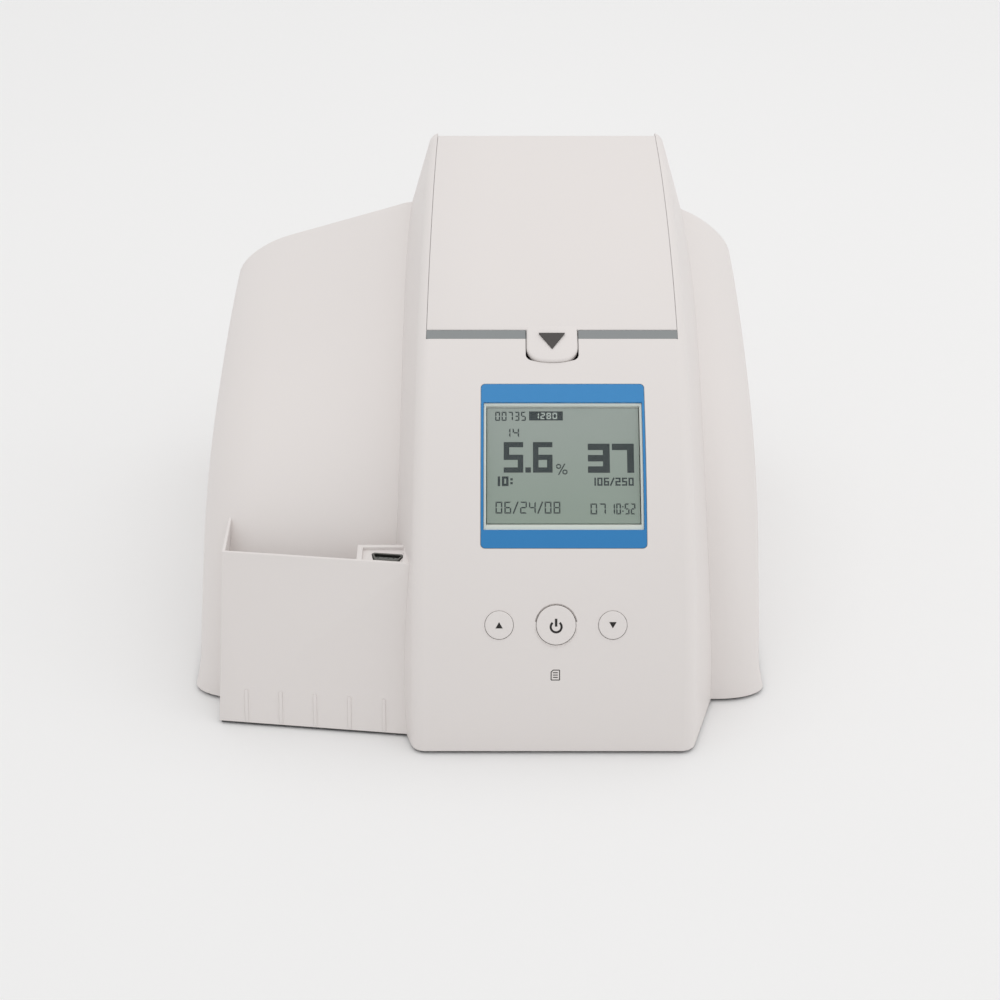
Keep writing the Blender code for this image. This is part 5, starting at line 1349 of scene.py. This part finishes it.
class ANALYZER_OT_buttons(bpy.types.Operator):
    """Build the three press buttons and their printed symbols"""

    bl_idname = "analyzer.buttons"
    bl_label = "Buttons"

    def execute(self, context):
        settings = context.scene.analyzer
        material = casing_material(settings.casing)
        ink = flat_ink("symbol_ink", tuple(settings.controls.ink))
        proud = CAP_TOP + CAP_DOME + settings.controls.ink_height
        half = mm(1.2)
        tall = mm(1.05)
        symbols = {
            "up": [[(-half, -tall), (half, -tall), (0, tall)]],
            "down": [[(-half, tall), (0, -tall), (half, tall)]],
            "mode": [
                arc_outline((0, -mm(0.55)), mm(2.15), mm(0.72), math.radians(130), math.radians(410), 40),
                bar_outline((0, -mm(0.45)), (0, mm(2.15)), mm(0.8))]}
        for name, (x, radius) in BUTTONS.items():
            matrix = face_frame(x, BUTTON_ROW)
            cap = turned("cap_" + name, button_profile(radius), 96, matrix)
            dress(cap, "button_" + name, "warm_white_plastic", material, "button_" + name)
            marks = prisms("symbol_" + name, symbols[name], mm(0.3), proud, matrix)
            dress(marks, "button_" + name, "dark_plastic", ink)
        x, radius = BUTTONS["mode"]
        outer = radius + BUTTON_GAP + ARC_SLOT_WIDTH
        outline = arc_outline((0, 0), outer, mm(0.3), math.radians(190), math.radians(350), 48)
        lip = soften(prism("mode_lip", outline, -mm(0.3), mm(0.25), face_frame(x, BUTTON_ROW)), mm(0.1), 2)
        dress(lip, "base", "warm_white_plastic", material)
        page = on_face(prisms(
            "symbol_page", page_outlines(*PAGE_PLACE), -settings.controls.ink_height, mm(0.1)))
        dress(page, "base", "dark_plastic", ink)
        return {"FINISHED"}


class ANALYZER_OT_hardware(bpy.types.Operator):
    """Finish the metal, rubber and board parts that keep their solids' shapes"""

    bl_idname = "analyzer.hardware"
    bl_label = "Hardware"

    def execute(self, context):
        dark = moulded_plastic("dark_moulding", (0.028, 0.028, 0.03), 0.45, 1.0, mm(0.12))
        coat_nodes(dark, "cartridge_drum", "optical_reader", "power_jack")
        coat_nodes(moulded_plastic("insert_moulding", (0.17, 0.175, 0.165), 0.45), "dock_insert")
        coat_nodes(worked_metal("sheet_steel", (0.56, 0.56, 0.55), 0.36), "chassis", "data_port")
        coat_nodes(worked_metal("dark_nickel", (0.17, 0.17, 0.16), 0.38, False), "dock_shell")
        coat_nodes(
            worked_metal("turned_steel", (0.60, 0.60, 0.59), 0.26, False), "drum_axle", "hinge_pin", "motor_shaft",
            "drive_motor", *[f"case_screw_{index}" for index in range(1, 7)])
        coat_nodes(
            moulded_rubber("foot_rubber", (0.028, 0.028, 0.03)),
            *[f"rubber_foot_{index}" for index in range(1, 6)])
        coat_nodes(moulded_rubber("keypad_silicone", (0.52, 0.52, 0.5)), "keypad_mat")
        coat_nodes(
            solder_resist("green_board", (0.018, 0.13, 0.05)), "main_board", "key_board", "display_board",
            "dock_board")
        coat_nodes(moulded_plastic("natural_acetal", (0.74, 0.73, 0.68), 0.35, 0.6, mm(0.12)), "drum_gear", "pinion")
        coat_nodes(clear_pane("reader_glass"), "reader_lens")
        return {"FINISHED"}


class ANALYZER_PT_panel(bpy.types.Panel):
    """Buttons for each step, in building order"""

    bl_label = "Blood Analyzer"
    bl_idname = "ANALYZER_PT_panel"
    bl_space_type = "VIEW_3D"
    bl_region_type = "UI"
    bl_category = "Analyzer"

    def draw(self, context):
        settings = context.scene.analyzer
        for group in (settings.casing, settings.display, settings.controls, settings.stage):
            box = self.layout.box()
            for name in group.__annotations__:
                box.prop(group, name)
        for step in STEPS:
            self.layout.operator(step.bl_idname)


STEPS = (
    ANALYZER_OT_stage, ANALYZER_OT_casing, ANALYZER_OT_lid, ANALYZER_OT_display, ANALYZER_OT_buttons,
    ANALYZER_OT_hardware)
CLASSES = (
    AnalyzerCasingSettings, AnalyzerDisplaySettings, AnalyzerControlSettings, AnalyzerStageSettings,
    AnalyzerSettings, *STEPS, ANALYZER_PT_panel)


def register():
    for item in CLASSES:
        bpy.utils.register_class(item)
    bpy.types.Scene.analyzer = bpy.props.PointerProperty(type=AnalyzerSettings)


def unregister():
    del bpy.types.Scene.analyzer
    for item in reversed(CLASSES):
        bpy.utils.unregister_class(item)


def main():
    register()
    bpy.ops.analyzer.stage()
    bpy.ops.analyzer.casing()
    bpy.ops.analyzer.lid()
    bpy.ops.analyzer.display()
    bpy.ops.analyzer.buttons()
    bpy.ops.analyzer.hardware()


if __name__ == "__main__":
    main()
